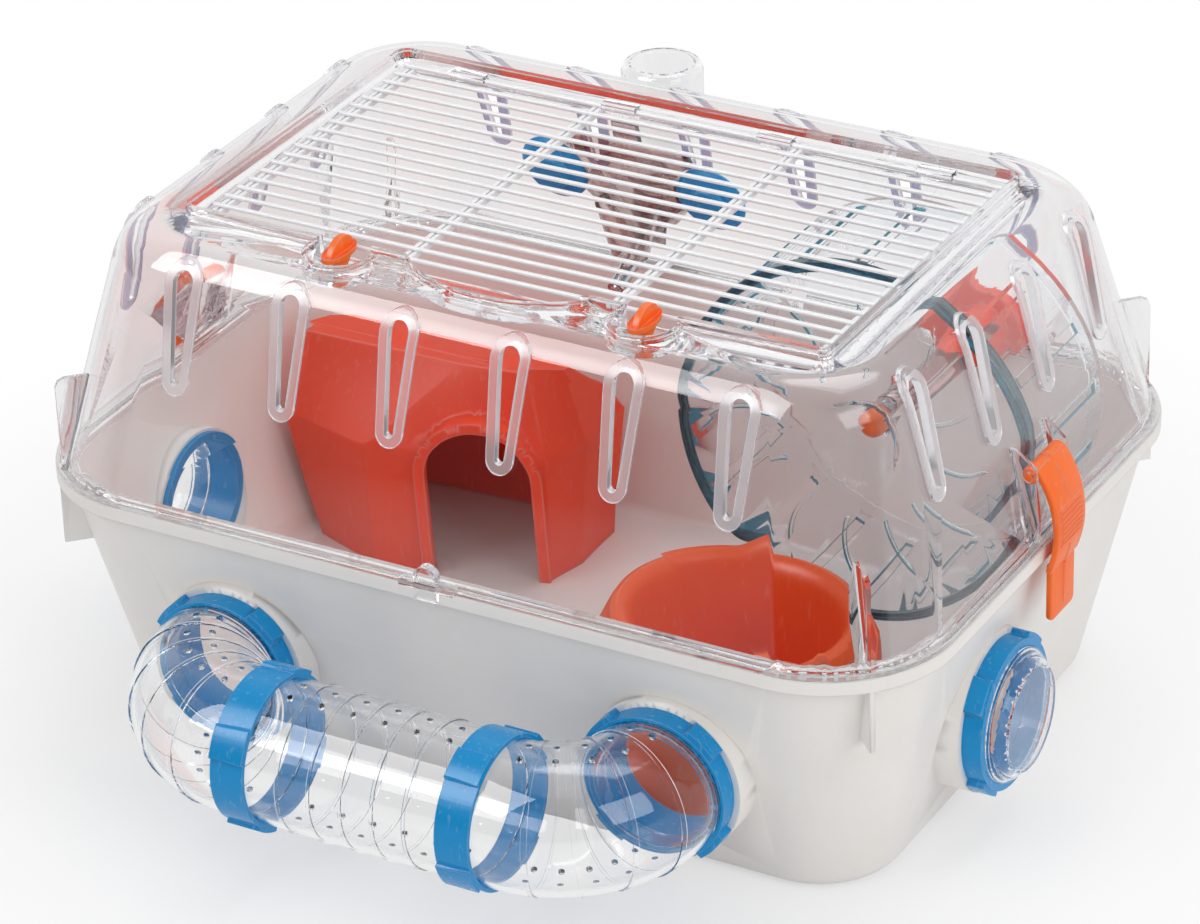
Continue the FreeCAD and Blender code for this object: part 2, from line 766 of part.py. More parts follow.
# Wire door
door_half = half_open_x - lip_wall - door_side_gap
wires = []
span = rear_wire_y - front_wire_y
for index in range(long_wire_count):
    wy = front_wire_y + span * index / (long_wire_count - 1)
    radius = edge_wire_radius if index == long_wire_count - 1 else wire_radius
    wires.append(cylinder(point(-door_half, wy, wire_z), X, radius, door_half * 2))
save("door_wires", Part.makeCompound(wires))
bars = []
bar_top = wire_z - wire_radius + weld_depth
for middle in (-door_half + 3.4, -door_half / 3, door_half / 3, door_half - 3.4):
    for shift in (-1, 1):
        bar_left = middle + (shift * cross_bar_pitch - cross_bar_width) / 2
        bar = box(bar_left, bar_left + cross_bar_width, front_wire_y - 0.9, rear_wire_y - 0.2,
                  bar_top - cross_bar_thickness, bar_top)
        for wire in wires:
            bar = bar.cut(wire)
        bars.append(bar)
save("door_cross_bars", Part.makeCompound(bars))

# Door knobs, drawn locked with their long side towards the door
for side, label in ((-1, "left"), (1, "right")):
    kx = side * knob_spacing / 2
    seat = ledge_top + knob_lift
    base_low = cage_height - 3.4
    shaft = cylinder(point(kx, knob_y, recess_floor - 2.6), Z, knob_shaft_radius, seat - recess_floor + 3.0)
    snap = cylinder(point(kx, knob_y, recess_floor - 2.6), Z, knob_shaft_radius + 1.6, 2.2)
    hub = cylinder(point(kx, knob_y, seat), Z, 5.0, base_low - seat + 0.5)
    oval = Part.Wire(Part.Ellipse(point(kx, knob_y, base_low), knob_length / 2, knob_width / 2).toShape())
    oval_base = Part.Face(oval).extrude(point(0, 0, 2.4))
    oval_base.rotate(point(kx, knob_y, 0), Z, 90)
    grip_top = Part.Ellipse(point(kx, knob_y, base_low), knob_length / 2 - 1.5, 7.6).toShape()
    grip_top.rotate(point(kx, knob_y, base_low), X, 90)
    grip = Part.Face(Part.Wire(grip_top)).extrude(point(0, knob_grip_thickness, 0))
    grip.translate(point(0, -knob_grip_thickness / 2, 0))
    grip = grip.common(box(kx - 30, kx + 30, knob_y - 30, knob_y + 30, base_low, base_low + 20))
    grip.rotate(point(kx, knob_y, base_low), Z, 90)
    save("door_knob_" + label, fuse_all([shaft, snap, hub, oval_base, grip]))

# Side clips: a bowed band on two stub pins, with grip ribs and a tail
px = clip_pivot_x
pz = clip_pivot_z
rim_x = half_length
rim_low = tray_height - skirt_height
band_out = [point(px + 3.0, 0, pz + 3.0), point(rim_x + 6.6, 0, tray_height + 12.0),
            point(rim_x + 3.4, 0, rim_low - 5.0)]
band_in = [point(rim_x + 0.6, 0, rim_low - 2.5), point(rim_x + 3.3, 0, tray_height + 12.0),
           point(px + 1.5, 0, pz - 1.5)]
band_edges = [Part.Arc(band_out[0], band_out[1], band_out[2]).toShape(),
              Part.makeLine(band_out[2], band_in[0]),
              Part.Arc(band_in[0], band_in[1], band_in[2]).toShape(),
              Part.makeLine(band_in[2], band_out[0])]
band = Part.Face(Part.Wire(band_edges)).extrude(point(0, clip_width, 0))
barrel = cylinder(point(px, 0, pz), Y, clip_barrel_radius, clip_width)
stub = cylinder(point(px, -cheek_thickness, pz), Y, clip_pin_radius, clip_width + 2 * cheek_thickness)
tail_low = rim_low - clip_tail_length
tail = prism([point(rim_x + 0.5, 0, rim_low - 2.0), point(rim_x + 3.6, 0, rim_low - 4.0),
              point(rim_x + 3.2, 0, tail_low + 1.0), point(rim_x + 2.4, 0, tail_low),
              point(rim_x + 1.2, 0, tail_low), point(rim_x + 0.5, 0, tail_low + 1.0)],
             point(0, clip_width - 4.0, 0))
tail.translate(point(0, 2.0, 0))
arc = Part.Arc(band_out[0], band_out[1], band_out[2])
grips = []
for share in (0.42, 0.5, 0.58, 0.66, 0.74):
    at = arc.value(arc.FirstParameter + (arc.LastParameter - arc.FirstParameter) * share)
    grips.append(cylinder(point(at.x, 2.5, at.z), Y, 0.8, clip_width - 5.0))
clip = fuse_all([barrel, stub, band, tail] + grips)
clip.translate(point(0, -clip_width / 2, 0))
save("side_clip_right", clip)
save("side_clip_left", mirrored(clip))

# House: a faceted shell through three outlines, with an arched door in a collar
# The outlines are measured from the house's left side and its back
house_base = [(12, -77), (50, -94), (125, -71.7), (129, -51), (126, -15), (112, -5), (26, -5), (12, -21)]
house_middle = [(0, -79), (50, -94), (127, -71), (135, -49), (133, -13), (118, 0), (18, 0), (0, -17)]
house_roof = [(9, -71), (86, -69), (116, -65), (127, -53), (126, -46), (109, -44), (18, -44), (10, -53)]


def placed(outline):
    return [(x - half_length + house_from_left, y + half_depth - house_from_back) for x, y in outline]


house_base = placed(house_base)
house_middle = placed(house_middle)
house_roof = placed(house_roof)

# The door stands in the front facet of the waist, which is turned a little to the right
facet_x, facet_y = house_middle[1]
facet_angle = math.atan2(house_middle[2][1] - facet_y, house_middle[2][0] - facet_x)
door_place = point(facet_x + door_from_corner * math.cos(facet_angle),
                   facet_y + door_from_corner * math.sin(facet_angle), 0)


def inset(outline, amount):
    # the same outline moved inward, corner by corner
    result = []
    count = len(outline)
    for index in range(count):
        ax, ay = outline[index - 1]
        bx, by = outline[index]
        nx, ny = outline[(index + 1) % count]
        d1 = math.hypot(bx - ax, by - ay)
        d2 = math.hypot(nx - bx, ny - by)
        n1 = (-(by - ay) / d1, (bx - ax) / d1)
        n2 = (-(ny - by) / d2, (nx - bx) / d2)
        scale = amount / (1 + n1[0] * n2[0] + n1[1] * n2[1])
        result.append((bx + (n1[0] + n2[0]) * scale, by + (n1[1] + n2[1]) * scale))
    return result


def outline_wire(outline, z):
    points = [point(x, y, z) for x, y in outline]
    return Part.makePolygon(points + [points[0]])


house_low = floor_thickness
house_mid = floor_thickness + house_waist
house_top = floor_thickness + house_height
door_crown = house_top - door_below_roof
house_outer = Part.makeLoft([outline_wire(house_base, house_low), outline_wire(house_middle, house_mid),
                             outline_wire(house_roof, house_top)], True, True)
house_room = [outline_wire(inset(house_base, house_wall), house_low - 0.1),
              outline_wire(inset(house_middle, house_wall), house_mid - 0.6),
              outline_wire(inset(house_roof, house_wall), house_top - house_wall)]
house_inner = Part.makeLoft(house_room, True, True)


def arch(half_width, crown, front, back):
    # an upright arch outline run backwards; front and back are measured from the front facet
    spring = crown - half_width
    low = house_low
    edges = [Part.makeLine(point(half_width, front, low), point(half_width, front, spring)),
             Part.Arc(point(half_width, front, spring), point(0, front, crown),
                      point(-half_width, front, spring)).toShape(),
             Part.makeLine(point(-half_width, front, spring), point(-half_width, front, low)),
             Part.makeLine(point(-half_width, front, low), point(half_width, front, low))]
    block = Part.Face(Part.Wire(edges)).extrude(point(0, back - front, 0))
    block.rotate(point(0, 0, 0), Z, math.degrees(facet_angle))
    block.translate(door_place)
    return block


collar_block = arch(door_half_width + door_collar, door_crown, -collar_reach, 30.0)
door_way = arch(door_half_width, door_crown - door_collar, -collar_reach - 5.0, 34.0)
house = house_outer.fuse(collar_block)
house = house.cut(house_inner)
house = house.cut(door_way)
house_solids = sorted(house.Solids, key=lambda solid: solid.Volume)
house = house_solids[-1]
save("house", house.removeSplitter())

# Food bowl: one turned shell, up the inside, over a broad lip and down a skirt to a wide foot
foot = bowl_foot_radius
rim_r = bowl_rim_radius
crest = bowl_rim_radius - bowl_lip_width
brim = bowl_height
bowl_upper = [(0, 5.5), (crest - 19.5, 5.8), (crest - 15.0, 7.5), (crest - 12.0, 11.5),
              (crest - 10.0, brim * 0.43), (crest - 6.5, brim - 8.0), (crest - 4.9, brim - 3.2),
              (crest - 2.7, brim - 0.8), (crest, brim), (crest + 2.5, brim - 1.2),
              (crest + 4.5, brim - 4.5), (rim_r, brim - bowl_lip_drop), (foot, 0)]
bowl_under = [(foot - bowl_wall, 0), (rim_r - bowl_wall, brim - bowl_lip_drop - 0.8),
              (crest + 2.3, brim - 6.0), (crest + 0.8, brim - 3.6), (crest - 0.2, brim - 2.8),
              (crest - 1.5, brim - 3.4), (crest - 2.5, brim - 5.5), (crest - 4.0, brim - 9.0),
              (crest - 10.0 + bowl_wall, brim * 0.43), (crest - 9.5, 10.0), (crest - 13.0, 4.8),
              (crest - 18.5, 3.2), (0, 5.5 - bowl_wall)]
bowl_profile = bowl_upper + bowl_under
bowl = turned(bowl_profile, point(bowl_x, bowl_y, floor_thickness), Z)
save("food_bowl", bowl)

# Wheel: closed front disc with a dished hub, slotted running surface and a back lip
wheel_centre = point(wheel_x, wheel_front, wheel_z)
hub_out = 7.0
bore = axle_radius + pivot_clearance
lip_inner = wheel_radius - 7.0
drum_inner = wheel_radius - wheel_wall
shell = [(bore, 24.0), (hub_out - 1.0, 24.0), (hub_out, 25.0), (20.0, 1.5), (26.0, 0.0),
         (wheel_radius, 0.0), (wheel_radius, wheel_width), (lip_inner, wheel_width),
         (lip_inner, wheel_width - wheel_wall), (drum_inner, wheel_width - wheel_wall),
         (drum_inner, wheel_wall), (26.6, wheel_wall), (21.4, wheel_wall + 1.2),
         (hub_out + 1.6, 26.0), (hub_out + 1.6, 33.0), (bore, 33.0)]
drum = turned(shell, wheel_centre, Y)
for index in range(running_slots):
    slot = box(wheel_x - running_slot_width / 2, wheel_x + running_slot_width / 2, wheel_front + 7.0,
               wheel_front + wheel_width - 8.0, wheel_z + wheel_radius - 6.0, wheel_z + wheel_radius + 4.0)
    slot.rotate(wheel_centre, Y, 360.0 * index / running_slots)
    drum = drum.cut(slot)
for index in range(disc_slits):
    slit = tube(point(wheel_x + 46.0, wheel_front - 3.0, wheel_z + 24.0), Y, 30.0, 28.2, 8.0)
    slit = slit.common(box(wheel_x + 36.0, wheel_x + 70.0, wheel_front - 3.0, wheel_front + 4.0,
                           wheel_z - 12.0, wheel_z - 1.0))
    slit.rotate(wheel_centre, Y, 360.0 * index / disc_slits)
    drum = drum.cut(slit)
save("wheel_drum", drum)
rim_profile = [(wheel_radius - 2.6, -2.6), (wheel_radius + 0.8, -2.6), (wheel_radius + 1.4, -1.8),
               (wheel_radius + 1.4, 3.2), (wheel_radius + 0.1, 3.2), (wheel_radius + 0.1, -0.02),
               (wheel_radius - 2.6, -0.02)]
save("wheel_rim", turned(rim_profile, wheel_centre, Y))

# Wheel bracket on the back wall, its axle and the axle's cap
plate_back = cylinder(point(wheel_x, wheel_front + 95.0, bracket_z), Y, 22.0, 60.0)
shrunk = cover_solid(-cover_wall, cover_foot)
wall_inside = wall_y - cover_wall
front_cut = box(wheel_x - 25.0, wheel_x + 25.0, wheel_front + 80.0, wall_inside - 11.0,
                bracket_z - 25.0, bracket_z + 25.0)
bracket_plate = plate_back.common(shrunk).cut(front_cut)
arm_start = wheel_front + 34.0
arm_tip = point(wheel_x, arm_start + 1.5, wheel_z)
arm_way = point(wheel_x, wall_inside - 8.0, bracket_z) - arm_tip
arm_sleeve = cylinder(point(wheel_x, arm_start, wheel_z), Y, arm_sleeve_radius, 7.0)
arm_straight = arm_way.Length - arm_flare
flare_start = arm_tip + arm_way * (arm_straight / arm_way.Length)
arm = cone(arm_tip, arm_way, arm_sleeve_radius - 0.9, arm_sleeve_radius + 0.7, arm_straight + 1.0)
flare = cone(flare_start, arm_way, arm_sleeve_radius + 0.1, 17.0, arm_flare)
stud = cylinder(point(wheel_x, wall_inside - 10.0, bracket_z), Y, stud_radius, 15.0)
stud_head = cylinder(point(wheel_x, wall_y + 2.4, bracket_z), Y, stud_radius + 1.8, 2.6)
bracket = fuse_all([bracket_plate, arm, arm_sleeve, flare, stud, stud_head])
bracket = bracket.cut(cylinder(point(wheel_x, wheel_front + 30.0, wheel_z), Y, bore, 24.0))
save("wheel_bracket", bracket)
axle = cylinder(point(wheel_x, wheel_front + 19.0, wheel_z), Y, axle_radius, 34.0)
save("wheel_axle", axle)
cap_profile = [(0, 14.5), (3.6, 15.1), (6.0, 17.2), (6.8, 20.0), (6.8, 23.4), (bore, 23.4),
               (bore, 18.8), (0, 18.8)]
save("axle_cap", turned(cap_profile, wheel_centre, Y))

# Drinker: bottle and cap outside, holder, cups and spout inside
bottle_centre = point(drinker_x, bottle_y, 0)
br = bottle_radius
low = bottle_bottom
high = bottle_top
neck = bottle_neck_radius
bottle_profile = [(neck, low - 9.0), (neck, low), (br - 3.0, low + 5.0), (br, low + 9.0), (br, high - 4.0),
                  (br - 1.2, high - 1.2), (br - 4.0, high), (0, high), (0, high - 1.6),
                  (br - 4.4, high - 1.6), (br - 1.6, high - 4.4), (br - 1.6, low + 9.6),
                  (br - 4.2, low + 6.0), (neck - 1.6, low + 0.8), (neck - 1.6, low - 9.0)]
save("bottle", turned(bottle_profile, bottle_centre, Z))
cap_bore = neck + sleeve_clearance
cap_outer = neck + 2.4
cap_profile = [(cap_bore, low - 0.4), (cap_bore, low - 9.4), (neck - 1.4, low - 9.4),
               (neck - 3.4, low - 14.0), (0, low - 14.0), (0, low - 18.0), (7.0, low - 18.0),
               (cap_outer, low - 10.0), (cap_outer, low - 0.4)]
bottle_cap = turned(cap_profile, bottle_centre, Z)
spout_boss = cylinder(spout_high, spout_way, spout_radius + 2.2, 12.0)
spout_boss = spout_boss.common(cylinder(point(drinker_x, bottle_y, low - 38.0), Z, cap_outer, 28.4))
bottle_cap = bottle_cap.fuse(spout_boss)
bottle_cap = bottle_cap.cut(cylinder(spout_high, spout_way, spout_radius + sleeve_clearance, spout_length))
bottle_cap = bottle_cap.removeSplitter()
save("bottle_cap", bottle_cap)
spout_start = spout_high + spout_way * 3.0
ball_centre = spout_high + spout_way * (spout_length - 1.2)
spout_end = spout_length - 3.0
ball_at = spout_end - 1.2
seat_radius = ball_radius + pivot_clearance
throat = ball_radius - 0.5
bore_end = ball_at - 3.0
mouth = point(math.sqrt(seat_radius ** 2 - 1.2 ** 2), 0, spout_end)
waist = point(throat, 0, ball_at - math.sqrt(seat_radius ** 2 - throat ** 2))
# the tube's half section, which is turned about its own axis and then laid along the spout's way
section = [point(throat, 0, bore_end), point(spout_radius - 0.6, 0, bore_end),
           point(spout_radius - 0.6, 0, 0), point(spout_radius, 0, 0),
           point(spout_radius, 0, spout_end), mouth]
section_edges = [Part.makeLine(a, b) for a, b in zip(section, section[1:])]
section_edges.append(Part.Arc(mouth, point(seat_radius, 0, ball_at), waist).toShape())
section_edges.append(Part.makeLine(waist, section[0]))
spout = Part.Face(Part.Wire(section_edges)).revolve(point(0, 0, 0), Z, 360)
spout.Placement = FreeCAD.Placement(spout_start, FreeCAD.Rotation(Z, spout_way))
save("spout_tube", spout)
save("spout_ball", Part.makeSphere(ball_radius, ball_centre))

# Holder plate against the inside of the back wall, with a hood over the spout
cup_z = low + cup_above_bottle_end
holder_side = [(0.0, 23.0), (28.0, 23.0), (32.0, 18.0), (32.0, 0.0), (22.0, -10.0), (13.0, -19.0),
               (10.0, -33.0), (0.0, -33.0)]
holder_outline = holder_side + [(-u, dz) for u, dz in reversed(holder_side[1:-1])]
inside_y = half_open_y - 2.0
holder_points = [point(drinker_x + u, inside_y, cup_z + dz) for u, dz in holder_outline]
holder_block = prism(holder_points, point(0, 80.0, 0))
thin = cover_solid(-cover_wall, cover_foot).cut(cover_solid(-cover_wall - 3.0, cover_foot - 1.0))
holder = holder_block.common(thin)
hood_y = cover_y(cup_z - 20.0) - 12.0
hood = cone(point(drinker_x, hood_y, cup_z - 34.0), Z, 8.0, 15.0, 26.0)
hood = hood.cut(cone(point(drinker_x, hood_y, cup_z - 34.1), Z, 6.2, 13.2, 26.2))
hood = hood.common(cover_solid(-cover_wall - 1.0, cover_foot))
stem = box(drinker_x - 4.0, drinker_x + 8.0, inside_y, inside_y + 60.0, cup_z + 22.0, cup_z + 33.0)
holder = fuse_all([holder, hood, stem.common(thin)])
holder = holder.cut(cylinder(spout_high, spout_way, spout_radius + spout_clearance, spout_length))
for end in (-1, 1):
    cup_start = point(drinker_x + end * cup_half_pitch, inside_y, cup_z)
    holder = holder.cut(cylinder(cup_start, Y, cup_radius + cup_clearance, 60.0))
largest = sorted(holder.Solids, key=lambda solid: solid.Volume)[-1]
save("drinker_holder", largest)
wall_tilt = math.atan(lean_y)
facing = FreeCAD.Rotation(Z, point(0, -math.cos(wall_tilt), -math.sin(wall_tilt)))
for end, label in ((-1, "left"), (1, "right")):
    cup_profile = [(0, 3.4), (cup_radius - 3.0, 3.4), (cup_radius, 1.0), (cup_radius, 0.4),
                   (cup_radius - 0.8, 0.4), (cup_radius - 4.0, 2.2), (0, 2.2)]
    cup = turned(cup_profile, point(0, 0, 0), Z)
    button = turned([(0, 3.4), (9.0, 3.4), (9.0, 5.0), (7.6, 6.6), (0, 7.0)], point(0, 0, 0), Z)
    cup = fuse_all([cup, button])
    seat = point(drinker_x + end * cup_half_pitch, cover_y(cup_z) - cover_wall * 1.04 - 0.1, cup_z)
    cup.Placement = FreeCAD.Placement(seat, facing)
    save("suction_cup_" + label, cup)
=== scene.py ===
# %% [markdown]
# # A small two-tier hamster cage
#
# The cage is a white moulded tray with a clear cover clipped on top. A coated wire door lies in the
# cover's roof, a run of clear tubes joins two ports in front, and a house, a food bowl, a wheel and a
# drinker are inside. This notebook gives those pieces their surfaces, lights them and places the
# camera. Only the door knobs and the side clips are modelled anew, because the real ones are finer
# than in the CAD model. Lengths are in metres, apart from the lens and from names that end in mm.

# %% Load the frame
import json
import math

import bpy
from mathutils import Matrix, Vector

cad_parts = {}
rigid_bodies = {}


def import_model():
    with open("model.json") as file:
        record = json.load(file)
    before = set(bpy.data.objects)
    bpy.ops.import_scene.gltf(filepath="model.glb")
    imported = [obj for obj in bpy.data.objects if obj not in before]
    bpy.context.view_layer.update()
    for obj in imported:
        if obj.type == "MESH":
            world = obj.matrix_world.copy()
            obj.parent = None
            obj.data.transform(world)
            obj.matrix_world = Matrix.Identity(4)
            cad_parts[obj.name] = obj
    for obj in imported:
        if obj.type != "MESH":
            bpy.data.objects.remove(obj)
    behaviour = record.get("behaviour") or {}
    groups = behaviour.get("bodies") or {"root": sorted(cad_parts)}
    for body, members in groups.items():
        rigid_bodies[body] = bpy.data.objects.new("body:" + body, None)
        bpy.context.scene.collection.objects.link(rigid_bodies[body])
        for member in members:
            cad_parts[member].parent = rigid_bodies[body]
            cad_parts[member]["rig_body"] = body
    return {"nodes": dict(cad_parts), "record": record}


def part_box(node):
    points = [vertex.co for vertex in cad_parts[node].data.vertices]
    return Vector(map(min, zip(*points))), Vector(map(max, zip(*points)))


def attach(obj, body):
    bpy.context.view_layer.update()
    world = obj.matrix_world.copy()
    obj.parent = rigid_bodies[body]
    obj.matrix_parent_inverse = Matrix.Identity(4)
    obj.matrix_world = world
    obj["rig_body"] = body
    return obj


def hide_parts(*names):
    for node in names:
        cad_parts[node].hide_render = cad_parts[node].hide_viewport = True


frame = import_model()
nodes = frame["nodes"]
slot_of = {row["node"]: row["material_slot"] for row in frame["record"]["subparts"]}
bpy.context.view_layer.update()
bpy.ops.object.select_all(action="DESELECT")

# %% [markdown]
# ## Camera
#
# The photograph was taken from the front right, well above the roof, with a long lens, so that the
# edges of the tray stay nearly parallel. The place, turn and lens were worked out from known points
# of the cage. A small sideways shift keeps the cage where it stands in the photograph.

# %% Place the camera
camera_data = bpy.data.cameras.new("photo_camera")
camera_data.sensor_width = 36.0
camera_data.lens = 153.81
camera_data.shift_x = -0.01408
camera_data.clip_start = 0.05
camera_data.clip_end = 60.0
camera = bpy.data.objects.new("photo_camera", camera_data)
camera.location = (0.92986, -1.62250, 1.11997)
camera.rotation_euler = [math.radians(a) for a in (61.3666, 1.5565, 28.8931)]
bpy.context.scene.collection.objects.link(camera)
bpy.context.scene.camera = camera
print("camera", [round(v, 3) for v in camera.location], "lens", camera_data.lens)

# %% [markdown]
# ## Colours and nodes
#
# Colours are written as the hex values that a picture editor shows. Blender's shaders want linear
# light, so one function turns a hex value to linear. A second small function adds a shader node, sets
# its options, and links or fills its inputs.

# %% Two helpers for materials


def linear(text):
    """A hex colour as linear red, green, blue and alpha."""
    values = [int(text[i:i + 2], 16) / 255 for i in (1, 3, 5)]
    return [v / 12.92 if v <= 0.04045 else ((v + 0.055) / 1.055) ** 2.4 for v in values] + [1.0]


def add(tree, kind, inputs=None, **settings):
    """Adds one node. An input is a value, or a socket of another node to link from."""
    made = tree.nodes.new(kind)
    for option, value in settings.items():
        setattr(made, option, value)
    for socket, value in (inputs or {}).items():
        if isinstance(value, bpy.types.NodeSocket):
            tree.links.new(value, made.inputs[socket])
        else:
            made.inputs[socket].default_value = value
    return made


def new_material(name):
    """An empty material with its node tree and output."""
    material = bpy.data.materials.new(name)
    material.use_nodes = True
    tree = material.node_tree
    tree.nodes.clear()
    return material, tree, tree.nodes.new("ShaderNodeOutputMaterial")


print("a middle grey, #808080, in linear light", [round(v, 3) for v in linear("#808080")])

# %% [markdown]
# ## Opaque moulded plastic
#
# The tray, rings, clips, house and bowl are injection moulded. Such a surface has three things that
# the eye reads at once: a faint orange peel from the mould, a colour that isn't quite even, and fine
# scuffs that show as duller streaks. Corners are never sharp, so a Bevel node rounds them for the
# light, and the same node finds the corners, which are rubbed a little paler and duller. Real orange
# peel is finer than a picture of the whole cage can show, so it is drawn about 1 to 2 mm apart.

# %% A function for moulded plastics
mottle_mm, streak_mm = 45, 2.2


def moulded_plastic(name, colour, pale, roughness, peel_mm=1.6, peel=0.05, scuffs=0.25,
                    edge_mm=0.6, inner_glow=0.0, glow_colour="#ffffff", coat=0.0, shine=0.5):
    """Opaque moulded plastic. peel_mm is the distance between the orange peel's bumps."""
    material, tree, output = new_material(name)
    place = add(tree, "ShaderNodeTexCoord").outputs["Object"]
    mottle = add(tree, "ShaderNodeTexNoise", {"Vector": place, "Scale": 1000 / mottle_mm, "Detail": 3.0})
    streak_place = add(tree, "ShaderNodeMapping", {"Vector": place, "Scale": (1.0, 1.0, 0.16),
                                                   "Rotation": (0.3, 0.25, 0.0)})
    streaks = add(tree, "ShaderNodeTexNoise", {"Vector": streak_place.outputs[0], "Detail": 2.0,
                                               "Scale": 1000 / streak_mm, "Roughness": 0.6})
    scuff = add(tree, "ShaderNodeMapRange", {"Value": streaks.outputs[0], "From Min": 0.60,
                                             "From Max": 0.74, "To Min": 0.0, "To Max": scuffs})
    rounded = add(tree, "ShaderNodeBevel", {"Radius": edge_mm / 1000}, samples=4)
    normal = add(tree, "ShaderNodeNewGeometry").outputs["Normal"]
    turn = add(tree, "ShaderNodeVectorMath", {0: rounded.outputs[0], 1: normal}, operation="DOT_PRODUCT")
    edge = add(tree, "ShaderNodeMapRange", {"Value": turn.outputs["Value"], "From Min": 0.995,
                                            "From Max": 0.90, "To Min": 0.0, "To Max": 0.22})
    worn = add(tree, "ShaderNodeMath", {0: edge.outputs[0], 1: scuff.outputs[0]}, operation="MAXIMUM")
    base = add(tree, "ShaderNodeMix", {"Factor": mottle.outputs[0], "A": linear(colour),
                                       "B": linear(pale)}, data_type="RGBA")
    rubbed = add(tree, "ShaderNodeMix", {"Factor": worn.outputs[0], "A": base.outputs["Result"],
                                         "B": linear("#f6f2ee")}, data_type="RGBA")
    dull = add(tree, "ShaderNodeMapRange", {"Value": worn.outputs[0], "From Min": 0.0, "From Max": 0.4,
                                            "To Min": roughness, "To Max": roughness + 0.16})
    grain = add(tree, "ShaderNodeTexNoise", {"Vector": place, "Scale": 1000 / peel_mm, "Detail": 2.0})
    bumped = add(tree, "ShaderNodeBump", {"Height": grain.outputs[0], "Normal": rounded.outputs[0],
                                          "Strength": peel, "Distance": peel_mm / 4000})
    shader = add(tree, "ShaderNodeBsdfPrincipled", {
        "Base Color": rubbed.outputs["Result"], "Roughness": dull.outputs[0], "IOR": 1.49,
        "Normal": bumped.outputs[0], "Subsurface Weight": inner_glow,
        "Subsurface Radius": linear(glow_colour)[:3], "Subsurface Scale": 0.004,
        "Coat Weight": coat, "Coat Roughness": 0.12, "Specular IOR Level": shine})
    tree.links.new(shader.outputs[0], output.inputs["Surface"])
    return material


print("patterns: mottle", mottle_mm, "mm, scuffs", streak_mm, "mm wide")

# %% [markdown]
# ## Clear moulded plastic
#
# The cover, tubes, wheel and bottle are clear. A closed wall with two faces bends light as the real
# one does, and a mix with a Transparent shader lets the lamps' light through to what is inside, which
# a glass shader alone would leave in the dark. The mould leaves slow waves in the wall, and handling
# leaves hair scratches, drawn wider than real ones so that they show. Light that crosses a thick
# place takes on more colour there, so the inside absorbs light: a little in the clear pieces, a lot
# in the tinted ones. A rough cut scatters light as well, and gets some milk.

# %% A function for clear plastics
scratch_mm = 1.6


def clear_plastic(name, tint, roughness, ior, wave_mm=40.0, wave=0.006, scratches=0.03,
                  passes="#fafafb", volume=None, density=0.0, milk=0.0):
    """Clear moulded plastic. passes is the lamp light that a face lets through, milk what scatters."""
    material, tree, output = new_material(name)
    place = add(tree, "ShaderNodeTexCoord").outputs["Object"]
    slow = add(tree, "ShaderNodeTexNoise", {"Vector": place, "Scale": 1000 / wave_mm, "Detail": 1.0})
    scratch_place = add(tree, "ShaderNodeMapping", {"Vector": place, "Scale": (1.0, 1.0, 0.12),
                                                    "Rotation": (0.5, 0.2, 0.4)})
    hairs = add(tree, "ShaderNodeTexNoise", {"Vector": scratch_place.outputs[0], "Detail": 3.0,
                                             "Scale": 1000 / scratch_mm})
    hair = add(tree, "ShaderNodeMapRange", {"Value": hairs.outputs[0], "From Min": 0.64,
                                            "From Max": 0.76, "To Min": roughness,
                                            "To Max": roughness + scratches})
    waved = add(tree, "ShaderNodeBump", {"Height": slow.outputs[0], "Strength": wave,
                                         "Distance": wave_mm / 8000})
    shader = add(tree, "ShaderNodeBsdfPrincipled", {
        "Base Color": linear(tint), "Roughness": hair.outputs[0], "IOR": ior,
        "Transmission Weight": 1.0 - milk, "Normal": waved.outputs[0]})
    through = add(tree, "ShaderNodeBsdfTransparent", {"Color": linear(passes)})
    ray = add(tree, "ShaderNodeLightPath")
    soft = add(tree, "ShaderNodeMixShader", {0: ray.outputs["Is Diffuse Ray"], 1: shader.outputs[0],
                                             2: through.outputs[0]})
    lit = add(tree, "ShaderNodeMixShader", {0: ray.outputs["Is Shadow Ray"], 1: soft.outputs[0],
                                            2: through.outputs[0]})
    tree.links.new(lit.outputs[0], output.inputs["Surface"])
    if volume:
        inside = add(tree, "ShaderNodeVolumeAbsorption", {"Color": linear(volume), "Density": density})
        tree.links.new(inside.outputs[0], output.inputs["Volume"])
    return material


print("hair scratches", scratch_mm, "mm wide")

# %% [markdown]
# ## The finishes of this cage
#
# Each entry is one of the record's material slots. The names say the real material and how its
# surface was made.

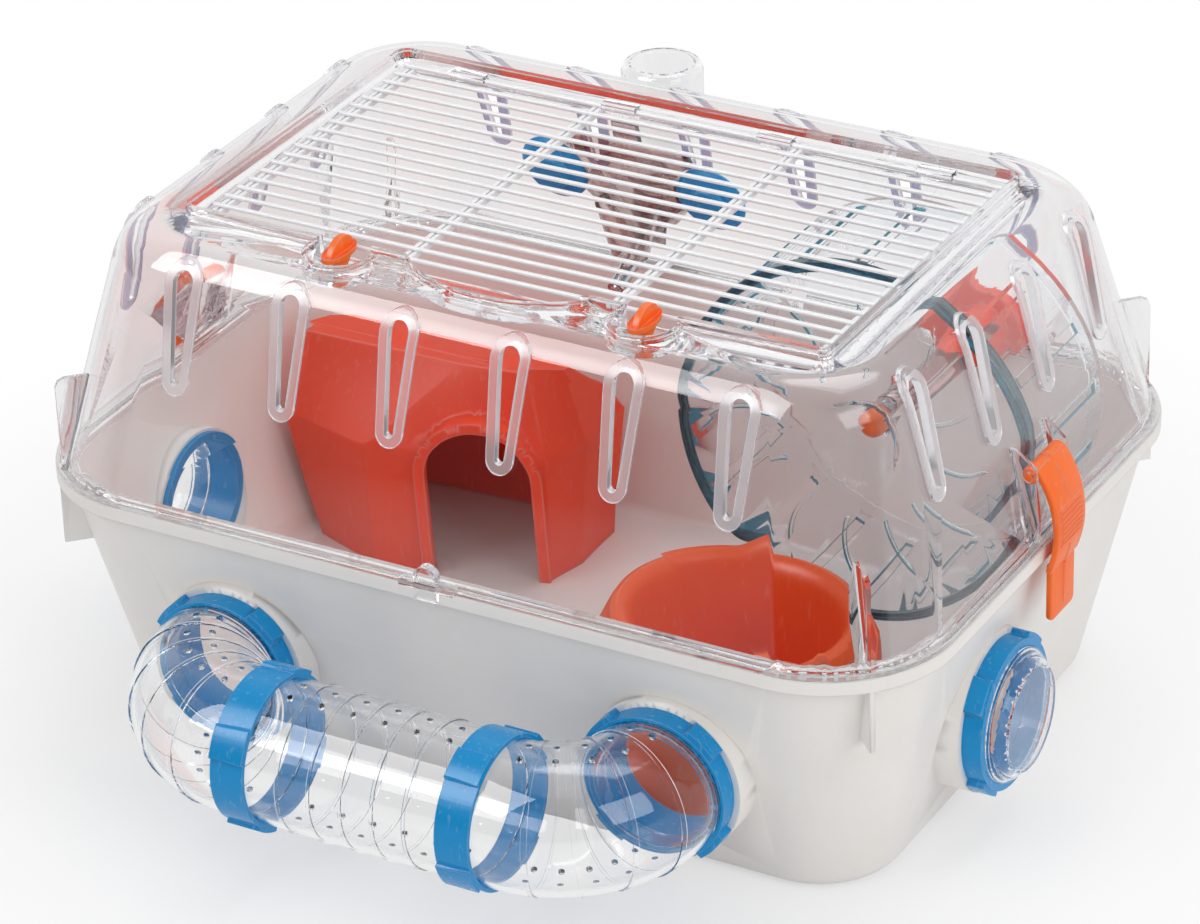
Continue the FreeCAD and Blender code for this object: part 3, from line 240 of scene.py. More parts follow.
# %% Make the finishes
finishes = {
    # polypropylene, moulded in a finely spark-eroded tool: satin, never mirror-like
    "tray_white": moulded_plastic("satin_polypropylene_offwhite", "#ebe7e2", "#f2efeb", 0.42,
                                  peel_mm=1.2, peel=0.10, scuffs=0.16, edge_mm=1.0,
                                  inner_glow=0.10, glow_colour="#ffe9d8"),
    # general purpose polystyrene, moulded in a polished tool: glassy, with a cool cast in its edges
    "clear_cover": clear_plastic("polished_clear_polystyrene", "#ffffff", 0.015, 1.50,
                                 volume="#dcdfee", density=9.0),
    "clear_tube": clear_plastic("polished_clear_styrene_tube", "#ffffff", 0.012, 1.50, wave_mm=16.0,
                                volume="#dbe4ee", density=12.0),
    # stretch-blown PET: a wall that waves more than a moulded one, and a faint grey
    "clear_bottle": clear_plastic("blown_clear_pet", "#ffffff", 0.03, 1.50, wave_mm=20.0, wave=0.03,
                                  volume="#d8dde2", density=16.0),
    # ABS in a polished tool: bright and even, with a clean highlight that is not quite a mirror's
    "port_blue": moulded_plastic("glossy_abs_sky_blue", "#0086c8", "#0296d4", 0.26, peel_mm=2.2,
                                 peel=0.04, scuffs=0.10, edge_mm=0.5, coat=0.05, shine=0.3),
    # soft PVC: slightly see-through, with a waxy sheen
    "cup_blue": moulded_plastic("soft_pvc_blue", "#1593d2", "#2aa5e0", 0.34, peel_mm=1.4, peel=0.05,
                                scuffs=0.08, edge_mm=0.5, inner_glow=0.25, glow_colour="#4fb4ff"),
    # steel wire with an epoxy powder coat: rounded, a little uneven
    "wire_white": moulded_plastic("epoxy_coated_wire_white", "#f2f2f4", "#f8f8f9", 0.30, peel_mm=0.9,
                                  peel=0.20, scuffs=0.05, edge_mm=0.4),
    # polypropylene again, dyed orange: satin, and light enters it a little
    "clip_orange": moulded_plastic("satin_polypropylene_orange", "#fc6508", "#ff761c", 0.38,
                                   peel_mm=1.1, peel=0.08, scuffs=0.12, edge_mm=0.6,
                                   inner_glow=0.15, glow_colour="#ff7a30"),
    # translucent red polystyrene from a coarse grained tool: a soft shine and a deep red glow
    "house_red": moulded_plastic("grained_translucent_red_styrene", "#fa4320", "#fc522c", 0.46,
                                 peel_mm=0.9, peel=0.30, scuffs=0.05, edge_mm=1.6,
                                 inner_glow=0.45, glow_colour="#ff4020", shine=0.3),
    # polypropylene in a redder orange than the clips, a little coarser in its grain
    "bowl_orange": moulded_plastic("satin_polypropylene_bowl_orange", "#f0520a", "#f45f16", 0.36,
                                   peel_mm=1.0, peel=0.12, scuffs=0.08, edge_mm=1.0,
                                   inner_glow=0.12, glow_colour="#ff6a30", shine=0.4),
    # pale blue tinted polystyrene: nearly clear in the flat, teal where one looks along a wall; its
    # IOR is below the real one, so that what stands behind the drum stays readable
    "wheel_clear": clear_plastic("tinted_clear_styrene_wheel", "#fdfeff", 0.02, 1.24,
                                 volume="#8fc0d4", density=26.0),
    # the same plastic with far more tint: a clear, deep teal
    "rim_teal": clear_plastic("tinted_teal_styrene_rim", "#5f9fb4", 0.06, 1.50, passes="#a8cad6",
                              volume="#2f7d96", density=260.0),
    # polystyrene with a warm smoke tint, darker where the wall is thick
    "smoky": clear_plastic("smoky_clear_styrene", "#eadcda", 0.08, 1.50, passes="#dccfcd",
                           volume="#a08c8a", density=70.0),
}
# the walls of the cut slots keep the matt mark of the tool, so they glow white in any light
slot_edges = clear_plastic("matt_edge_of_polystyrene", "#f8f8fb", 0.20, 1.50, wave=0.0, milk=0.30)
# where one looks along the wheel's tinted wall, at its slits and slots, the tint adds up to teal
wheel_cuts = clear_plastic("teal_cut_of_tinted_styrene", "#4795aa", 0.22, 1.40, passes="#a8cad6",
                           wave=0.0, milk=0.55)
# the wheel's arm is moulded in a pale rose clear plastic, its wall plate in the house's red
arm_rose = clear_plastic("pale_rose_clear_styrene", "#f4e2e2", 0.05, 1.50, passes="#f0dede",
                         volume="#e0a8a8", density=40.0)


# %% [markdown]
# ## Polished steel
#
# The drinker's spout is a drawn stainless tube. It mirrors the studio, a little blurred by the fine
# marks of the polishing wheel.

# %% Make the steel finish
mark_mm = 0.8


def polished_steel(name):
    """Stainless tube, drawn and polished: a metal with very fine marks."""
    material, tree, output = new_material(name)
    place = add(tree, "ShaderNodeTexCoord").outputs["Object"]
    marks = add(tree, "ShaderNodeTexNoise", {"Vector": place, "Scale": 1000 / mark_mm, "Detail": 2.0})
    rough = add(tree, "ShaderNodeMapRange", {"Value": marks.outputs[0], "To Min": 0.14, "To Max": 0.26})
    tone = add(tree, "ShaderNodeMix", {"Factor": marks.outputs[0], "A": linear("#c9c8c6"),
                                       "B": linear("#d8d7d5")}, data_type="RGBA")
    bump = add(tree, "ShaderNodeBump", {"Height": marks.outputs[0], "Strength": 0.05,
                                        "Distance": 0.0002})
    shader = add(tree, "ShaderNodeBsdfPrincipled", {
        "Base Color": tone.outputs["Result"], "Metallic": 1.0, "Roughness": rough.outputs[0],
        "Normal": bump.outputs[0]})
    tree.links.new(shader.outputs[0], output.inputs["Surface"])
    return material


finishes["steel"] = polished_steel("polished_stainless_tube")
print("finishes", len(finishes))

# %% [markdown]
# ## The true direction of the clear walls
#
# A clear wall shows every fault of its shading twice, once on each face, and the view through it
# swims. A real wall has two faces that run exactly side by side. So for the cover and the tubes the
# shading direction is worked out from the wall's own shape: the cover is a rounded rectangle that
# leans inward and turns over a soft shoulder, and the tubes follow one centre line.

# %% The cover's wall
foot_z, shoulder_z = 0.117, 0.205
# half length, half depth and corner radius at the foot, and how fast each shrinks on the way up
half_length, half_depth, corner_radius = 0.198, 0.1445, 0.050
lean_x, lean_y, lean_corner = 0.235, 0.275, 0.1154
# how far the shoulder turns inward, how high it is, and the corners' share of that turn
shoulder_reach, shoulder_height, corner_share = 0.011, 0.016, 0.6
wall, rim_proud = 0.002, 0.0015
# a point this near to a face lies on it, and slopes are measured over this step
near, step = 0.0002, 0.0002


def cover_outline(z, grow):
    """Half length, half depth and corner radius of the cover at one height."""
    rise = z - foot_z
    x, y = half_length - lean_x * rise, half_depth - lean_y * rise
    corner = corner_radius - lean_corner * rise
    run = 0.0
    if z > shoulder_z:
        share = min(0.998, (z - shoulder_z) / (shoulder_height + grow))
        run = shoulder_reach * (1 - math.cos(math.asin(share)))
    return x + grow - run, y + grow - run, corner + grow - corner_share * run


def outside(p, grow=0.0):
    """How far a point lies outside the cover's wall, grown by the given amount, level with it."""
    x, y, corner = cover_outline(p.z, grow)
    over_x, over_y = abs(p.x) - x + corner, abs(p.y) - y + corner
    return math.hypot(max(over_x, 0.0), max(over_y, 0.0)) + min(max(over_x, over_y), 0.0) - corner


def way_out(p, grow=0.0):
    """The direction in which a point leaves the cover's wall fastest, found by three small steps."""
    steps = (Vector((step, 0, 0)), Vector((0, step, 0)), Vector((0, 0, step)))
    return Vector([outside(p + s, grow) - outside(p - s, grow) for s in steps]).normalized()


def cover_direction(p):
    """Outward direction of the cover's wall at a point on either face or on a raised rim."""
    for grow in (0.0, -wall, rim_proud):
        if abs(outside(p, grow)) < near and p.z > foot_z:
            return way_out(p, grow)
    return None


print("cover at its foot", [round(2 * v, 3) for v in cover_outline(foot_z, 0.0)[:2]], "m")

# %% The tubes' centre line
tube_z, straight_y, bend_y = 0.0523, -0.1901, -0.1501
bend_x, leg_x, bend_radius = 0.060, 0.100, 0.040


def tube_direction(p):
    """Direction to a point from the centre line: a straight tube, two bends and two legs."""
    side = 1 if p.x > 0 else -1
    bend = Vector((side * bend_x, bend_y, tube_z))
    if abs(p.x) <= bend_x:
        centre = Vector((p.x, straight_y, tube_z))
    elif p.y >= bend.y:
        centre = Vector((side * leg_x, p.y, tube_z))
    else:
        out = Vector((p.x - bend.x, p.y - bend.y, 0.0)).normalized()
        centre = bend + bend_radius * out
    return (p - centre).normalized()


print("the two legs of the tubes are", round(2 * leg_x, 3), "m apart")

# %% [markdown]
# ## Smooth pieces from the CAD model
#
# The CAD model comes as loose triangles. Shaded as it is, a round tube would show its facets, so each
# piece gets a copy whose corners are merged and whose shading is smooth up to a set angle. The copy
# rides on the same body and stands for the CAD piece. On the clear walls the shading is then turned
# to the true direction.

# %% Helpers for picking and for shading
merge_gap = 0.000002


def select_only(piece):
    """Makes one object the active and only selected one."""
    bpy.ops.object.select_all(action="DESELECT")
    piece.select_set(True)
    bpy.context.view_layer.objects.active = piece


def pick(piece, kind, wanted):
    """Selects the faces or edges that pass a test, counts them, and stays in edit mode."""
    select_only(piece)
    bpy.ops.object.mode_set(mode="EDIT")
    bpy.ops.mesh.select_mode(type=kind)
    bpy.ops.mesh.select_all(action="DESELECT")
    bpy.ops.object.mode_set(mode="OBJECT")
    count = 0
    for item in piece.data.polygons if kind == "FACE" else piece.data.edges:
        item.select = wanted(item)
        count += item.select
    bpy.ops.object.mode_set(mode="EDIT")
    return count


def follow(piece, direction, within=25):
    """Turns the shading to a wall's true direction on faces that lie along it, within some degrees."""
    mesh = piece.data
    turned = [Vector(c.vector) for c in mesh.corner_normals]
    limit = math.cos(math.radians(within))
    known = {}
    changed = 0
    for face in mesh.polygons:
        for loop in face.loop_indices:
            index = mesh.loops[loop].vertex_index
            if index not in known:
                known[index] = direction(mesh.vertices[index].co)
            true = known[index]
            if true is None:
                continue
            along = true.dot(face.normal)
            if abs(along) > limit:
                turned[loop] = true if along > 0 else -true
                changed += 1
    mesh.normals_split_custom_set(turned)
    return changed


print("points closer than", 1000 * merge_gap, "mm become one")

# %% [markdown]
# Around each vent slot the cover has a raised rim, and in the photograph these rims catch the light
# because they are round. The CAD rims have hard edges. Their tops are first dissolved from triangles
# into whole faces, and then the edges between a top and its walls, found by the angle between the two
# faces that meet there, are rounded with a bevel.

# %% Round the rims of the slots
rims_low, rims_high, rim_rounding, hard_angle = 0.15, 0.2185, 0.0009, 35


def on_rim_tops(mesh):
    """For each corner point of the cover, whether it lies on the top of a raised rim."""
    return [abs(outside(v.co, rim_proud)) < near and rims_low < v.co.z < rims_high for v in mesh.vertices]


def round_slot_rims(piece):
    """Bevels the edges of the raised rims around the cover's slots."""
    mesh = piece.data
    top = on_rim_tops(mesh)
    pick(piece, "FACE", lambda face: all(top[i] for i in face.vertices))
    bpy.ops.mesh.dissolve_limited(angle_limit=math.radians(0.5))
    bpy.ops.object.mode_set(mode="OBJECT")
    top = on_rim_tops(mesh)
    beside = {}
    for face in mesh.polygons:
        for key in face.edge_keys:
            beside.setdefault(key, []).append(face.normal.copy())

    def hard(edge):
        sides = beside.get(edge.key, [])
        on_top = top[edge.vertices[0]] and top[edge.vertices[1]]
        return on_top and len(sides) == 2 and sides[0].angle(sides[1]) > math.radians(hard_angle)

    count = pick(piece, "EDGE", hard)
    bpy.ops.mesh.bevel(offset=rim_rounding, segments=3, profile=0.5, affect="EDGES", clamp_overlap=True)
    bpy.ops.object.mode_set(mode="OBJECT")
    return count


print("rims stand", 1000 * rim_proud, "mm proud and are rounded by", 1000 * rim_rounding, "mm")

# %% Copy, merge and smooth


def stand_for(piece, name):
    """Gives a piece the finish of one CAD piece, and lets it take that piece's place."""
    piece.name = name + "_shown"
    piece.data.materials.clear()
    piece.data.materials.append(finishes[slot_of[name]])
    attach(piece, nodes[name]["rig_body"])
    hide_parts(name)
    return piece


def smooth_copy(name, angle=24.0, direction=None, before=None):
    """A merged and smoothly shaded copy of one CAD piece, with its finish."""
    piece = bpy.data.objects.new(name + "_shown", nodes[name].data.copy())
    bpy.context.scene.collection.objects.link(piece)
    select_only(piece)
    bpy.ops.object.mode_set(mode="EDIT")
    bpy.ops.mesh.select_all(action="SELECT")
    bpy.ops.mesh.remove_doubles(threshold=merge_gap)
    bpy.ops.object.mode_set(mode="OBJECT")
    if before:
        print(name, "edges rounded", before(piece))
        select_only(piece)
    bpy.ops.object.shade_smooth_by_angle(angle=math.radians(angle))
    weighted = piece.modifiers.new("weighted", "WEIGHTED_NORMAL")
    weighted.keep_sharp = True
    bpy.ops.object.modifier_apply(modifier="weighted")
    if direction:
        print(name, "corners turned", follow(piece, direction))
    return stand_for(piece, name)


shown = {}
modelled = ("door_knob_left", "door_knob_right", "side_clip_left", "side_clip_right")
known_walls = {"cover": cover_direction, "tube_straight": tube_direction,
               "elbow_left": tube_direction, "elbow_right": tube_direction}
first_steps = {"cover": round_slot_rims}
for name in nodes:
    if name not in modelled:
        shown[name] = smooth_copy(name, direction=known_walls.get(name), before=first_steps.get(name))
print("smoothed", len(shown), "pieces,", sum(len(o.data.polygons) for o in shown.values()), "faces")

# %% [markdown]
# Three pieces carry a second finish. On the cover it goes to the walls and rims of the slots, found by
# their place: they stand across the wall or proud of it. The cheeks that hold the side clips stand
# proud as well, and keep the first finish. On the wheel it goes to the walls of the slits and slots,
# and on the wheel's bracket to the arm, which is all that stands in front of the plate.

# %% Second finishes
# the heights of the slots, and how far their faces lie from the outer face of the wall
slots_low, slots_high = 0.150, 0.2195
just_inside, just_outside, proud_from = -0.0019, 0.0018, 0.0003
cheek_half_width, cheek_from_x = 0.0175, 0.18
# a face stands across a wall if the cosine between their directions is below this
across = 0.8
# on the wheel: the disc in front, its hub and edge, and the drum with a lip at either end
disc_depth, disc_hub, disc_edge = 0.0022, 0.012, 0.002
drum_wall, front_lip, back_lip = 0.003, 0.005, 0.006
plate_front_y = 0.104
wheel_low, wheel_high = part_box("wheel_drum")
wheel_x, wheel_z = (wheel_low[0] + wheel_high[0]) / 2, (wheel_low[2] + wheel_high[2]) / 2
wheel_radius = (wheel_high[0] - wheel_low[0]) / 2


def second_finish(piece, material, wanted):
    """Gives the faces that pass a test another material, and counts them."""
    piece.data.materials.append(material)
    count = 0
    for face in piece.data.polygons:
        if wanted(face):
            face.material_index = 1
            count += 1
    return count


def on_slot(face):
    """True on the rims and inner walls of the slots."""
    centre = face.center
    beyond = outside(centre)
    if not slots_low < centre.z < slots_high or not just_inside < beyond < just_outside:
        return False
    if abs(centre.y) < cheek_half_width and abs(centre.x) > cheek_from_x:
        return False
    return beyond > proud_from or abs(way_out(centre).dot(face.normal)) < across


def on_wheel_cut(face):
    """True on the walls of the slits in the wheel's disc and of the slots in its drum."""
    y = face.center.y
    spoke = Vector((face.center.x - wheel_x, 0.0, face.center.z - wheel_z))
    if y < wheel_low[1] + disc_depth:
        return abs(face.normal.y) < 0.5 and disc_hub < spoke.length < wheel_radius - disc_edge
    if not wheel_low[1] + front_lip < y < wheel_high[1] - back_lip:
        return False
    return spoke.length > wheel_radius - drum_wall and abs(spoke.normalized().dot(face.normal)) < across


print("slot faces", second_finish(shown["cover"], slot_edges, on_slot))
print("wheel cut faces", second_finish(shown["wheel_drum"], wheel_cuts, on_wheel_cut))
arm_faces = second_finish(shown["wheel_bracket"], arm_rose, lambda face: face.center.y < plate_front_y)
print("arm faces", arm_faces)

# %% [markdown]
# ## Door knobs
#
# A door knob is an oval dish with a raised brim, a tall thin blade for the fingers that is highest at
# the end towards the door, and a hub that narrows down to a shaft through the ledge. A snap disc holds
# it from below. Each of these starts as a primitive at its place and is shaped in edit mode: the brim
# by insetting and lowering the top, the blade by squashing, leaning and cutting a disc.

# %% Helpers for modelling


def settle(scale=(1, 1, 1)):
    """Bakes the place, turn and scale of the new primitive into its mesh."""
    piece = bpy.context.object
    piece.scale = scale
    bpy.ops.object.transform_apply(location=True, rotation=True, scale=True)
    return piece


def soften(piece, width, segments=3, sharper_than=35.0, smooth_to=50):
    """Rounds every edge that is sharper than one angle and shades the piece smooth up to another."""
    bevel = piece.modifiers.new("softened", "BEVEL")
    bevel.width = width
    bevel.segments = segments
    bevel.limit_method = "ANGLE"
    bevel.angle_limit = math.radians(sharper_than)
    select_only(piece)
    bpy.ops.object.modifier_apply(modifier="softened")
    bpy.ops.object.shade_smooth_by_angle(angle=math.radians(smooth_to))
    return piece


def join(pieces):
    """Joins several pieces into the first one."""
    select_only(pieces[0])
    for piece in pieces:
        piece.select_set(True)
    bpy.ops.object.join()
    return pieces[0]


def moved_copy(piece, matrix, flip=False):
    """A copy with its own mesh, moved by a matrix."""
    twin = bpy.data.objects.new(piece.name + "_copy", piece.data.copy())
    twin.data.transform(matrix)
    if flip:
        twin.data.flip_normals()
    bpy.context.scene.collection.objects.link(twin)
    return twin


# %% The dish of a knob
knob_low, knob_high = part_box("door_knob_left")
knob_x, knob_y = (knob_low[0] + knob_high[0]) / 2, (knob_low[1] + knob_high[1]) / 2
dish_radius, dish_height, dish_squash = 0.0110, 0.0024, 0.455
dish_z = knob_high[2] - 0.0076
bpy.ops.object.select_all(action="DESELECT")
bpy.ops.mesh.primitive_cylinder_add(vertices=96, radius=dish_radius, depth=dish_height,
                                    location=(knob_x, knob_y, dish_z + dish_height / 2))
dish = settle((dish_squash, 1.0, 1.0))
pick(dish, "FACE", lambda face: face.normal.z > 0.9)
for brim_width, brim_depth in ((0.0008, 0.0010), (0.0011, 0.0003)):
    bpy.ops.mesh.inset(thickness=brim_width)
    bpy.ops.transform.translate(value=(0, 0, -brim_depth))
bpy.ops.object.mode_set(mode="OBJECT")
soften(dish, 0.0004)
print("dish", round(2000 * dish_radius, 1), "mm long, faces", len(dish.data.polygons))

# %% The blade of a knob
blade_radius, blade_thickness, blade_squash, blade_lean = 0.0090, 0.0030, 0.83, 14
blade_shift, blade_foot = 0.0004, 0.0008
bpy.ops.mesh.primitive_cylinder_add(vertices=96, radius=blade_radius, depth=blade_thickness,
                                    location=(0, 0, 0), rotation=(0, math.pi / 2, 0))
blade = settle()
bpy.ops.object.mode_set(mode="EDIT")
bpy.ops.mesh.select_all(action="SELECT")
bpy.ops.transform.resize(value=(1.0, 1.0, blade_squash))
bpy.ops.transform.rotate(value=math.radians(-blade_lean), orient_axis="X", center_override=(0, 0, 0))
bpy.ops.transform.translate(value=(knob_x, knob_y + blade_shift, dish_z))
bpy.ops.mesh.select_all(action="SELECT")
bpy.ops.mesh.bisect(plane_co=(knob_x, knob_y, dish_z + blade_foot), plane_no=(0, 0, 1), use_fill=True,
                    clear_inner=True)
bpy.ops.object.mode_set(mode="OBJECT")
top = max(blade.data.vertices, key=lambda v: v.co.z).co
print("blade is highest", round((top.y - knob_y) * 1000, 1), "mm towards the door, top", round(top.z, 4))
soften(blade, 0.0009, segments=4)

# %% Hub, shaft and snap, and the second knob
shaft_radius, shaft_length = 0.0030, 0.0056
hub_radius, hub_length, hub_drop = 0.0050, 0.0056, 0.0024
snap_radius, snap_height = 0.0046, 0.0022
bpy.ops.mesh.primitive_cone_add(vertices=64, radius1=shaft_radius, radius2=hub_radius, depth=hub_length,
                                location=(knob_x, knob_y, dish_z - hub_drop))
hub = soften(settle(), 0.0004)
bpy.ops.mesh.primitive_cylinder_add(vertices=64, radius=shaft_radius, depth=shaft_length,
                                    location=(knob_x, knob_y, knob_low[2] + shaft_length / 2))
shaft = soften(settle(), 0.0003)
bpy.ops.mesh.primitive_cylinder_add(vertices=64, radius=snap_radius, depth=snap_height,
                                    location=(knob_x, knob_y, knob_low[2] + snap_height / 2))
snap = soften(settle(), 0.0007)
knob = join([dish, blade, hub, shaft, snap])
other = moved_copy(knob, Matrix.Translation((-2 * knob_x, 0, 0)))
shown["door_knob_left"] = stand_for(knob, "door_knob_left")
shown["door_knob_right"] = stand_for(other, "door_knob_right")
print("knob faces", len(knob.data.polygons))

# %% [markdown]
# ## Side clips
#
# A side clip is one bowed band. Its top is a barrel on two stub pins, with a notch in the middle. The
# band swings out over the rim of the tray, and a flat tail with rounded corners hangs below for the
# thumb. Eight fine ribs lie across the lower half, a thin seam runs down the middle above and below
# them, and a small ridge stiffens the tail. The band is a rectangle spun about the centre of its bow,
# which is the centre of the circle through three points of its outer side.

# %% The bow of a clip
clip_low, clip_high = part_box("side_clip_right")
barrel_radius = 0.0036
pivot_x, pivot_z = clip_low[0] + barrel_radius, clip_high[2] - barrel_radius
bow_top, bow_middle, bow_foot = (pivot_x + 0.0030, pivot_z + 0.0030), (0.2091, 0.1270), (0.2059, 0.1040)


def circle_through(a, b, c):
    """Centre and radius of the circle through three points of a plane."""
    d = 2 * (a[0] * (b[1] - c[1]) + b[0] * (c[1] - a[1]) + c[0] * (a[1] - b[1]))
    squares = [p[0] ** 2 + p[1] ** 2 for p in (a, b, c)]
    x = (squares[0] * (b[1] - c[1]) + squares[1] * (c[1] - a[1]) + squares[2] * (a[1] - b[1])) / d
    z = (squares[0] * (c[0] - b[0]) + squares[1] * (a[0] - c[0]) + squares[2] * (b[0] - a[0])) / d
    return (x, z), math.hypot(a[0] - x, a[1] - z)


(bow_x, bow_z), bow_radius = circle_through(bow_top, bow_middle, bow_foot)
bow_start = math.atan2(bow_top[1] - bow_z, bow_top[0] - bow_x)
bow_end = math.atan2(bow_foot[1] - bow_z, bow_foot[0] - bow_x)
print("bow radius", round(bow_radius, 4), "from", round(bow_start, 3), "to", round(bow_end, 3))


def bow_point(share, proud=0.0):
    """A point on the outer side of the bow; share runs from 0 at the top to 1 at the bottom."""
    angle = bow_start + (bow_end - bow_start) * share
    reach = bow_radius + proud
    return (bow_x + reach * math.cos(angle), 0.0, bow_z + reach * math.sin(angle)), angle


# %% The band and its seams
band_thickness, band_width = 0.0026, 0.0260
seam_thickness, seam_width, seam_proud = 0.0006, 0.0007, 0.0003


def spun_bar(thickness, width, first, last, proud, steps):
    """A bar of rectangular section that follows the bow between two shares."""
    place, angle = bow_point(first, proud - thickness / 2)
    bpy.ops.object.select_all(action="DESELECT")
    bpy.ops.mesh.primitive_plane_add(size=1.0, location=place, rotation=(0, -angle, 0))
    bar = settle((thickness, width, 1.0))
    bpy.ops.object.mode_set(mode="EDIT")
    bpy.ops.mesh.select_all(action="SELECT")
    sweep = (bow_end - bow_start) * (last - first)
    bpy.ops.mesh.spin(steps=steps, angle=sweep, center=(bow_x, 0, bow_z), axis=(0, 1, 0))
    bpy.ops.mesh.select_all(action="SELECT")
    bpy.ops.mesh.remove_doubles(threshold=merge_gap)
    bpy.ops.mesh.normals_make_consistent(inside=False)
    bpy.ops.object.mode_set(mode="OBJECT")
    return bar


band = spun_bar(band_thickness, band_width, 0.0, 1.0, 0.0, 32)
heights = [v.co.z for v in band.data.vertices]
print("band from", round(min(heights), 4), "to", round(max(heights), 4), "faces", len(band.data.polygons))
soften(band, 0.0008)
seams = [spun_bar(seam_thickness, seam_width, first, last, seam_proud, 10)
         for first, last in ((0.08, 0.38), (0.80, 0.97))]
for seam in seams:
    soften(seam, 0.0001, segments=2)

# %% The barrel, its pins and the ribs
half_barrel = 0.0122
# radius, length, place across and rounding: two halves of the barrel, the notch, the pins
barrel_rows = [(barrel_radius, half_barrel, -0.0069, 0.0006), (barrel_radius, half_barrel, 0.0069, 0.0006),
               (0.0029, 0.0040, 0.0, 0.0002), (0.0020, 0.0300, 0.0, 0.0003)]
rib_count, rib_radius, rib_length, first_rib, rib_step = 8, 0.00075, 0.0200, 0.42, 0.045
lengthwise = (math.pi / 2, 0, 0)
bpy.ops.object.select_all(action="DESELECT")
pieces = [band] + seams
for radius, length, middle_y, rounding in barrel_rows:
    bpy.ops.mesh.primitive_cylinder_add(vertices=64, radius=radius, depth=length,
                                        location=(pivot_x, middle_y, pivot_z), rotation=lengthwise)
    pieces.append(soften(settle(), rounding))
for index in range(rib_count):
    place = bow_point(first_rib + rib_step * index)[0]
    bpy.ops.mesh.primitive_cylinder_add(vertices=24, radius=rib_radius, depth=rib_length,
                                        location=place, rotation=lengthwise)
    pieces.append(soften(settle(), 0.0005, segments=4))
print("pieces of the clip so far", len(pieces))

# %% The tail, and the second clip
tail_size, tail_place = (0.0026, 0.0220, 0.0262), (0.20450, 0.0, 0.0943)
tail_foot_z, tail_corner = 0.082, 0.0030
bpy.ops.mesh.primitive_cube_add(size=1.0, location=tail_place)
tail = settle(tail_size)


def tail_edge(edge):
    """True on the two edges that run through the tail's thickness at its foot."""
    a, b = [tail.data.vertices[i].co for i in edge.vertices]
    return a.z < tail_foot_z and b.z < tail_foot_z and abs(a.x - b.x) > 0.002


corners = pick(tail, "EDGE", tail_edge)
bpy.ops.mesh.bevel(offset=tail_corner, segments=8, affect="EDGES")
bpy.ops.object.mode_set(mode="OBJECT")
pieces.append(soften(tail, 0.0008))
bpy.ops.mesh.primitive_cone_add(vertices=32, radius1=0.0007, radius2=0.0014, depth=0.0190,
                                location=(0.2056, 0.0, 0.0945))
pieces.append(soften(settle(), 0.0005))
clip = join(pieces)
twin = moved_copy(clip, Matrix.Scale(-1.0, 4, (1, 0, 0)), flip=True)
shown["side_clip_right"] = stand_for(clip, "side_clip_right")
shown["side_clip_left"] = stand_for(twin, "side_clip_left")
print("clip faces", len(clip.data.polygons), "tail corners", corners)

# %% [markdown]
# ## Studio
#
# The photograph was made on a white sweep: white under and behind the cage, with a darker room in
# front of it. That is why the front walls are so clear to look through, while the shoulders carry
# broad white bands. The lamps stay at a plain level. What the camera, mirrors and clear plastic see of
# the sweep and of the room is set by Light Path, in the same way for the floor and the surround.

# %% The white floor
white_light = (1, 1, 1, 1)


def by_ray(tree, lit, looked_at, mirrored, share=None):
    """One look for what the camera sees, also through clear plastic, one for mirrors, one for light."""
    ray = add(tree, "ShaderNodeLightPath")
    seen = add(tree, "ShaderNodeMath", {0: ray.outputs["Is Camera Ray"],
                                        1: ray.outputs["Is Transmission Ray"]}, operation="MAXIMUM")
    if share:
        seen = add(tree, "ShaderNodeMath", {0: seen.outputs[0], 1: share}, operation="MULTIPLY")
    both = add(tree, "ShaderNodeMixShader", {0: seen.outputs[0], 1: lit.outputs[0],
                                             2: looked_at.outputs[0]})
    return add(tree, "ShaderNodeMixShader", {0: ray.outputs["Is Glossy Ray"], 1: both.outputs[0],
                                             2: mirrored.outputs[0]})


bpy.ops.mesh.primitive_plane_add(size=24.0, location=(0.0, 0.0, -0.0003))
floor = bpy.context.object
floor.name = "studio_floor"
material, tree, output = new_material("white_paper_floor")
place = add(tree, "ShaderNodeTexCoord").outputs["Object"]
# half of what is seen near the cage is plain white, and all of it beyond 0.4 m, so the shadow stays
away = add(tree, "ShaderNodeVectorMath", {0: place}, operation="LENGTH")
fade = add(tree, "ShaderNodeMapRange", {"Value": away.outputs["Value"], "From Min": 0.20,
                                        "From Max": 0.40, "To Min": 0.50, "To Max": 1.0})
# in mirrors the floor darkens towards the room in front
forward = add(tree, "ShaderNodeSeparateXYZ", {0: place}).outputs["Y"]
room = add(tree, "ShaderNodeMapRange", {"Value": forward, "From Min": -1.8, "From Max": -0.7,
                                        "To Min": 0.10, "To Max": 0.85})
paper = add(tree, "ShaderNodeBsdfDiffuse", {"Color": linear("#f4f4f5")})
white = add(tree, "ShaderNodeEmission", {"Color": white_light, "Strength": 1.0})
mirrored = add(tree, "ShaderNodeEmission", {"Color": white_light, "Strength": room.outputs[0]})
every = by_ray(tree, paper, white, mirrored, share=fade.outputs[0])
tree.links.new(every.outputs[0], output.inputs["Surface"])
floor.data.materials.append(material)
print("floor nodes", len(tree.nodes))

# %% The surround
world = bpy.data.worlds.new("white_surround")
bpy.context.scene.world = world
world.use_nodes = True
tree = world.node_tree
tree.nodes.clear()
output = tree.nodes.new("ShaderNodeOutputWorld")
direction = add(tree, "ShaderNodeTexCoord").outputs["Generated"]
parts = add(tree, "ShaderNodeSeparateXYZ", {0: direction})
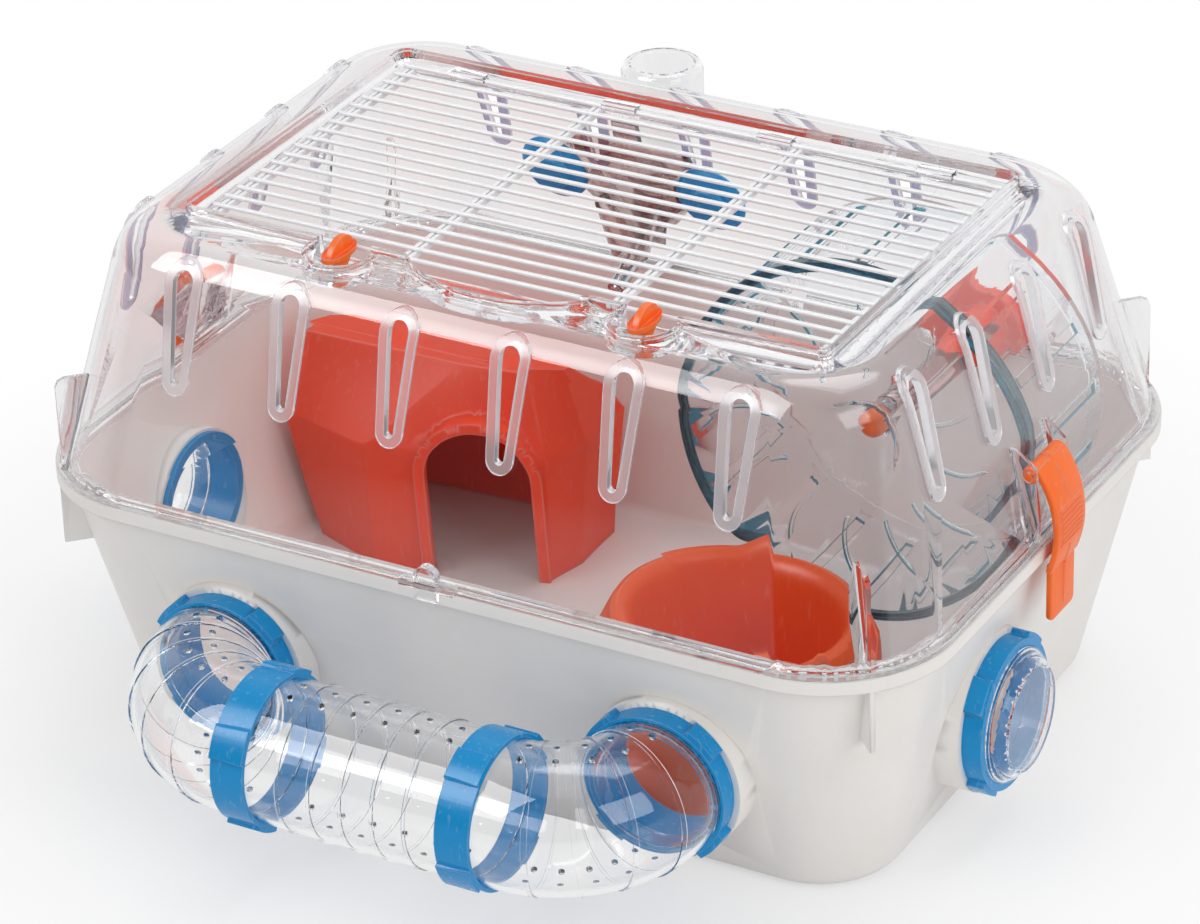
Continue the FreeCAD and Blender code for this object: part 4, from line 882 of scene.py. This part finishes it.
# from the horizon up: white sweep, grey ceiling, white over the cage
ramp = add(tree, "ShaderNodeValToRGB", {0: parts.outputs["Z"]})
ramp.color_ramp.elements[0].position = 0.14
ramp.color_ramp.elements[0].color = white_light
ramp.color_ramp.elements[1].position = 0.32
ramp.color_ramp.elements[1].color = (0.66, 0.66, 0.69, 1.0)
ramp.color_ramp.elements.new(0.70).color = (0.70, 0.70, 0.73, 1.0)
ramp.color_ramp.elements.new(0.92).color = white_light
# in mirrors the front is dark and the back is white
room = add(tree, "ShaderNodeMapRange", {"Value": parts.outputs["Y"], "From Min": -0.25,
                                        "From Max": 0.35, "To Min": 0.10, "To Max": 0.95})
lighting = add(tree, "ShaderNodeBackground", {"Color": white_light, "Strength": 0.58})
surround = add(tree, "ShaderNodeBackground", {"Color": ramp.outputs[0], "Strength": 1.0})
mirrored = add(tree, "ShaderNodeBackground", {"Color": white_light, "Strength": room.outputs[0]})
every = by_ray(tree, lighting, surround, mirrored)
tree.links.new(every.outputs[0], output.inputs["Surface"])
print("surround nodes", len(tree.nodes))

# %% [markdown]
# The key light comes from the front left, with soft boxes at the right and above the back. The white
# bands on the cover's shoulders are the reflection of one large paper reflector, which hangs above the
# front left. It is a lamp that shows in reflections only, so it draws the bands and adds no light to
# the colours.

# %% Lamps
middle_of_cage = Vector((0.0, 0.0, 0.11))


def softbox(name, place, width, height, brightness, mirrored_only=False):
    """A rectangular soft lamp that faces the cage. brightness is its radiance, 1 is white."""
    data = bpy.data.lights.new(name, "AREA")
    data.shape = "RECTANGLE"
    data.size = width
    data.size_y = height
    data.energy = brightness * width * height * math.pi
    lamp = bpy.data.objects.new(name, data)
    lamp.location = place
    aim = middle_of_cage - Vector(place)
    lamp.rotation_euler = aim.to_track_quat("-Z", "Y").to_euler()
    bpy.context.scene.collection.objects.link(lamp)
    lamp.visible_diffuse = not mirrored_only
    lamp.visible_transmission = not mirrored_only
    return lamp


# name, place, width, height and brightness
lamps = [softbox("front_left_box", (-1.30, -2.10, 1.90), 1.3, 0.9, 2.4),
         softbox("right_box", (2.10, -0.70, 1.30), 1.2, 1.4, 2.6),
         softbox("top_box", (0.10, 0.90, 2.30), 1.6, 1.2, 2.4),
         softbox("front_reflector", (-0.80, -1.35, 1.55), 1.6, 1.4, 7.5, mirrored_only=True)]
print("lamps", [(lamp.name, round(lamp.data.energy, 1)) for lamp in lamps])

# %% [markdown]
# ## Depth of the light
#
# A look through the cage crosses many clear walls, each with two faces, so light may take many steps
# here before it is given up. Caustics are left out, because they would only add bright specks.

# %% View and bounces
bpy.context.scene.view_settings.view_transform = "Standard"
cycles = bpy.context.scene.cycles
cycles.max_bounces = 40
cycles.transmission_bounces = 36
cycles.transparent_max_bounces = 40
cycles.glossy_bounces = 24
cycles.caustics_reflective = False
cycles.caustics_refractive = False
print("bounces", cycles.max_bounces)
